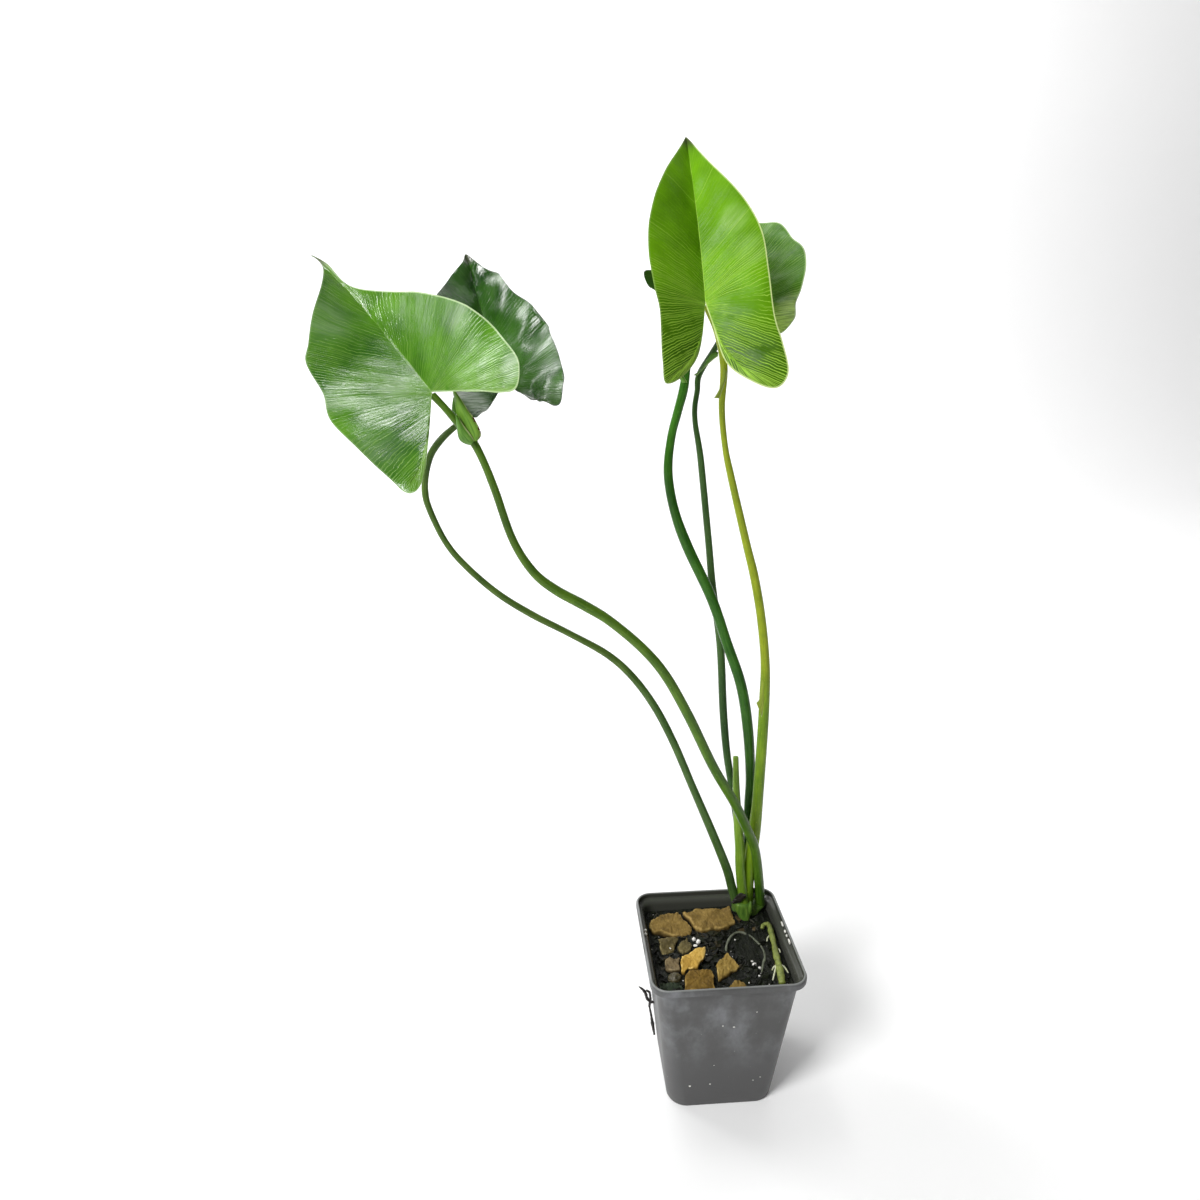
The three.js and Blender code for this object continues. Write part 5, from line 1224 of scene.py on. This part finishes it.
def marks_of(u, v, m, t, outline):
    """For each point of a half blade: its place between main veins (whole on a vein), the
    width of that lane, the distances to the nearest rib and to the margin, and t."""
    lane = np.interp(m, MAIN_VEINS, np.arange(len(MAIN_VEINS))) + 0 * t
    flat = np.stack([u, v], -1)
    by_row = np.gradient(flat, axis=0) * PER_STATION
    by_step = np.gradient(flat, axis=1)
    by_step /= np.maximum(np.linalg.norm(by_step, axis=-1), 1e-9)[..., None]
    apart = np.abs(by_row[..., 0] * by_step[..., 1] - by_row[..., 1] * by_step[..., 0])
    per_lane = 1 / np.gradient(lane[:, 0]) / PER_STATION
    shares = np.linspace(0, 0.9, 60)
    off = np.linalg.norm(flat[:, :, None] - lobe_rib(outline, shares)[None, None], axis=-1)
    share, to_lobe = shares[off.argmin(-1)], off.min(-1)
    to_rib = np.where(u > 0, np.minimum(v, to_lobe), to_lobe)
    width = np.where(u > 0, 0.3 + 0.6 * np.clip(1 - u / outline[0, 0], 0, 1), 0.22 + 0.6 * (1 - share))
    start, run = outline[:-1], np.diff(outline, axis=0)
    reach = flat[:, :, None] - start
    along = np.clip((reach * run).sum(-1) / np.maximum((run ** 2).sum(-1), 1e-9), 0, 1)
    to_margin = np.linalg.norm(reach - along[..., None] * run, axis=-1).min(-1)
    return dict(lane=lane, lane_mm=apart * per_lane[:, None], rib=to_rib / width, edge_mm=to_margin,
                out=t + 0 * u, past_stalk=np.clip(-u / 30, 0, 1),
                to_tip=np.clip(u / outline[0, 0], 0, 1))


def blade_mesh(name, leaf):
    """Both halves, sewn along their shared points, raised between the main veins, ridged
    under the ribs and given a thickness that runs out to a thin margin."""
    halves = [half_blade(leaf, side) for side in (-1, 1)]
    rows, columns = halves[0][0].shape[:2]
    cells = grid_triangles(rows, columns)
    triangles = np.concatenate([cells, cells[:, ::-1] + rows * columns])
    points = np.concatenate([h[0].reshape(-1, 3) for h in halves])
    marks = {k: np.concatenate([h[1][k].ravel() for h in halves]) for k in halves[0][1]}
    marks["side"] = np.repeat([0.0, 1.0], rows * columns)
    _, first, where = np.unique(np.round(points, 3), axis=0, return_index=True, return_inverse=True)
    triangles = where.ravel()[triangles]
    a, b, c = triangles.T
    triangles = triangles[(a != b) & (b != c) & (c != a)]
    marks = {k: values[first] for k, values in marks.items()}
    quilt = QUILT * (0.5 - 0.5 * np.cos(2 * np.pi * marks["lane"])) * np.clip(marks["lane_mm"] / 9, 0, 1)
    quilt *= np.sin(np.pi * np.clip(marks["out"], 0, 1)) ** 0.7
    quilt += roughened(points[first], 22, leaf["pucker"], 61) * np.clip(marks["out"] * 3, 0, 1)
    half = BLADE_HALF - MARGIN_LOSS * np.exp(-marks["edge_mm"] / 1.2)
    rib = np.exp(-marks["rib"] ** 2 * 1.6)
    strong = np.clip(marks["edge_mm"] / 6, 0, 1)
    top = half + quilt + RIB_ABOVE * rib * strong
    under = half - quilt + RIB_BELOW * rib * strong
    verts, faces = thick_sheet(points[first] * MM, triangles, top * MM, under * MM)
    made = mesh_of(name, verts, faces, sharp=75)
    for key, values in marks.items():
        add_attribute(made, key, np.tile(values, 2))
    add_attribute(made, "under", np.repeat([0.0, 1.0], len(first)))
    return made


LEAF_LOOKS = {   # a painted sheen is a paler patch painted where a reflection falls: its centre, its radius and how strong it is
    "front_left": dict(
        dark=(0.024, 0.11, 0.004), light=(0.1, 0.28, 0.011), vein=(0.2, 0.38, 0.06), gloss=0.15,
        shine=0.7,
        slot="mid_green_leaf", margin=(0.45, 0.6, 0.3), ribs=0.6, lined=1.3, sheen_colour=(0.4, 0.52, 0.34), painted_sheen=(
            ((-0.149, -0.027, 0.506), 0.012, 0.35), ((-0.122, -0.065, 0.484), 0.01, 0.65),
            ((-0.223, 0.012, 0.504), 0.02, 0.22), ((-0.214, -0.018, 0.465), 0.013, 0.25),
            ((-0.184, -0.012, 0.472), 0.012, 0.3), ((-0.19, -0.04, 0.435), 0.022, 0.22))),
    "front_right": dict(
        dark=(0.085, 0.235, 0.002), light=(0.16, 0.4, 0.004), vein=(0.33, 0.58, 0.06), gloss=0.3,
        shine=0.12,
        slot="yellow_green_leaf", margin=(0.6, 0.7, 0.3), ribs=1.0, clear=0.85, lobes=0.95, lined=2.0,
        sheen_colour=(0.4, 0.6, 0.2), painted_sheen=(
            ((0.003, -0.001, 0.537), 0.012, 0.2), ((-0.005, 0.01, 0.554), 0.01, 0.4))),
    "back_left": dict(
        dark=(0.01, 0.05, 0.005), light=(0.045, 0.15, 0.012), vein=(0.07, 0.16, 0.03), gloss=0.13,
        shine=0.65,
        slot="dark_green_leaf", margin=(0.05, 0.09, 0.04), ribs=0.5, sheen_colour=(0.8, 0.84, 0.8), painted_sheen=(
            ((-0.145, 0.008, 0.46), 0.02, 1.0), ((-0.104, 0.021, 0.476), 0.012, 0.12))),
    "back_right": dict(
        dark=(0.03, 0.11, 0.004), light=(0.09, 0.25, 0.01), vein=(0.26, 0.46, 0.08), gloss=0.2, shine=0.12,
        slot="mid_green_leaf", margin=(0.4, 0.55, 0.25), ribs=0.8, lined=1.6, sheen_colour=(0.58, 0.8, 0.18),
        painted_sheen=(
            ((0.034, 0.024, 0.504), 0.028, 0.95), ((0.027, 0.02, 0.497), 0.017, 0.6))),
    "rear": dict(
        dark=(0.01, 0.036, 0.004), light=(0.03, 0.075, 0.008), vein=(0.04, 0.1, 0.02), gloss=0.9, shine=0.0,
        slot="dark_green_leaf", margin=(0.02, 0.04, 0.01), ribs=0.5),
}


def leaf_material(name, dark, light, vein, gloss, margin, shine, ribs, lined=1.0, clear=0.0,
                  lobes=0.0, sheen_colour=(0.4, 0.5, 0.3), painted_sheen=()):
    """A glossy leaf: clouded green, fine wavy pale veins side by side, stronger main veins
    and midrib, a pale thin margin which is painted stronger on the right half as a painted
    highlight, paler patches of painted sheen where reflections fall, and a duller, paler
    underside."""
    material, tree, shader = new_material(name + " leaf", gloss, Specular_IOR_Level=shine)
    marks = {k: mark(tree, k) for k in ("lane", "lane_mm", "rib", "edge_mm", "out", "under", "past_stalk",
                                        "to_tip", "side")}
    place = place_in(tree)
    clouds = speckle(tree, place, 28, 4, 0.55)
    colour = ramp(tree, clouds, [(0.35, dark), (0.65, light)])
    deep = tuple(0.5 * c for c in dark)
    colour = blend(tree, times(tree, marks["past_stalk"], lobes), colour, deep)
    wander = times(tree, speckle(tree, place, 80, 3), 2.4)
    along_veins = {0: times(tree, marks["lane"], 9),
                   1: times(tree, marks["out"], 1.6)}
    along_veins = node(tree, "ShaderNodeCombineXYZ", along_veins).outputs[0]
    streaks = speckle(tree, along_veins, 1.0, 4, 0.55)

    def lines(per_lane, width, bend):
        """Distance in millimetres to the nearest of so many lines in each lane, as a mask."""
        bent = times(tree, wander, bend)
        off = sum_of(tree, "PINGPONG", scaled(tree, marks["lane"], per_lane, bent), 0.5)
        distance = times(tree, off, sum_of(tree, "DIVIDE", marks["lane_mm"], per_lane))
        return step(tree, distance, width, 0.2 * width)

    strength = scaled(tree, marks["past_stalk"], 0.2, 0.38 * lined)
    fine = times(tree, lines(8, 0.22, 1.0), strength)
    middle = times(tree, lines(3, 0.28, 0.4), 0.25 * lined)
    main = times(tree, lines(0.5, 0.35, 0.0), 0.5)
    patches = step(tree, speckle(tree, place, 60, 3), 0.3, 0.46)
    kept = scaled(tree, step(tree, marks["to_tip"], 0.1, 0.45), -clear, 1.0)
    patches = times(tree, patches, kept)
    fine = times(tree, sum_of(tree, "ADD", fine, middle), patches)
    rib = times(tree, step(tree, marks["rib"], 1.15, 0.5), ribs)
    veins = sum_of(tree, "MAXIMUM", sum_of(tree, "MAXIMUM", fine, main), rib)
    colour = blend(tree, veins, colour, vein)
    # Painted sheen: streaky paler patches, painted on the upper face where reflections fall.
    uneven = scaled(tree, step(tree, streaks, 0.4, 0.6), 0.6, 0.4)
    uneven = times(tree, uneven, sum_of(tree, "SUBTRACT", 1.0, marks["under"]))
    for centre, radius, strength in painted_sheen:
        ends = {0: place, 1: centre}
        off = node(tree, "ShaderNodeVectorMath", ends, operation="DISTANCE").outputs["Value"]
        amount = times(tree, step(tree, off, radius, 0.3 * radius), strength)
        colour = blend(tree, times(tree, amount, uneven), colour, sheen_colour)
    edge = step(tree, marks["edge_mm"], 0.9, 0.4)
    # The pale margin is the leaf's own; painting it stronger on the right half adds a painted highlight
    # along that edge.
    edge = times(tree, edge, scaled(tree, marks["side"], 0.6, 0.2))
    colour = blend(tree, edge, colour, margin)
    dry_tip = step(tree, marks["to_tip"], 0.88, 0.96)
    colour = blend(tree, times(tree, dry_tip, 0.85), colour, (0.04, 0.045, 0.02))
    pale = tuple(0.55 * a + 0.25 * b for a, b in zip(light, vein))
    colour = blend(tree, times(tree, marks["under"], 0.6), colour, pale)
    grain = times(tree, speckle(tree, place, 900, 3), 0.3)
    relief = scaled(tree, streaks, 1.4, scaled(tree, veins, -0.5, grain))
    finish(tree, shader, colour, relief, 0.00026, 0.9)
    return material


for name, leaf in LEAVES.items():
    look = dict(LEAF_LOOKS[name])
    slot = look.pop("slot")
    dress(blade_mesh("leaf_" + name, leaf), leaf_material(name, **look), slot, "blade_" + name)
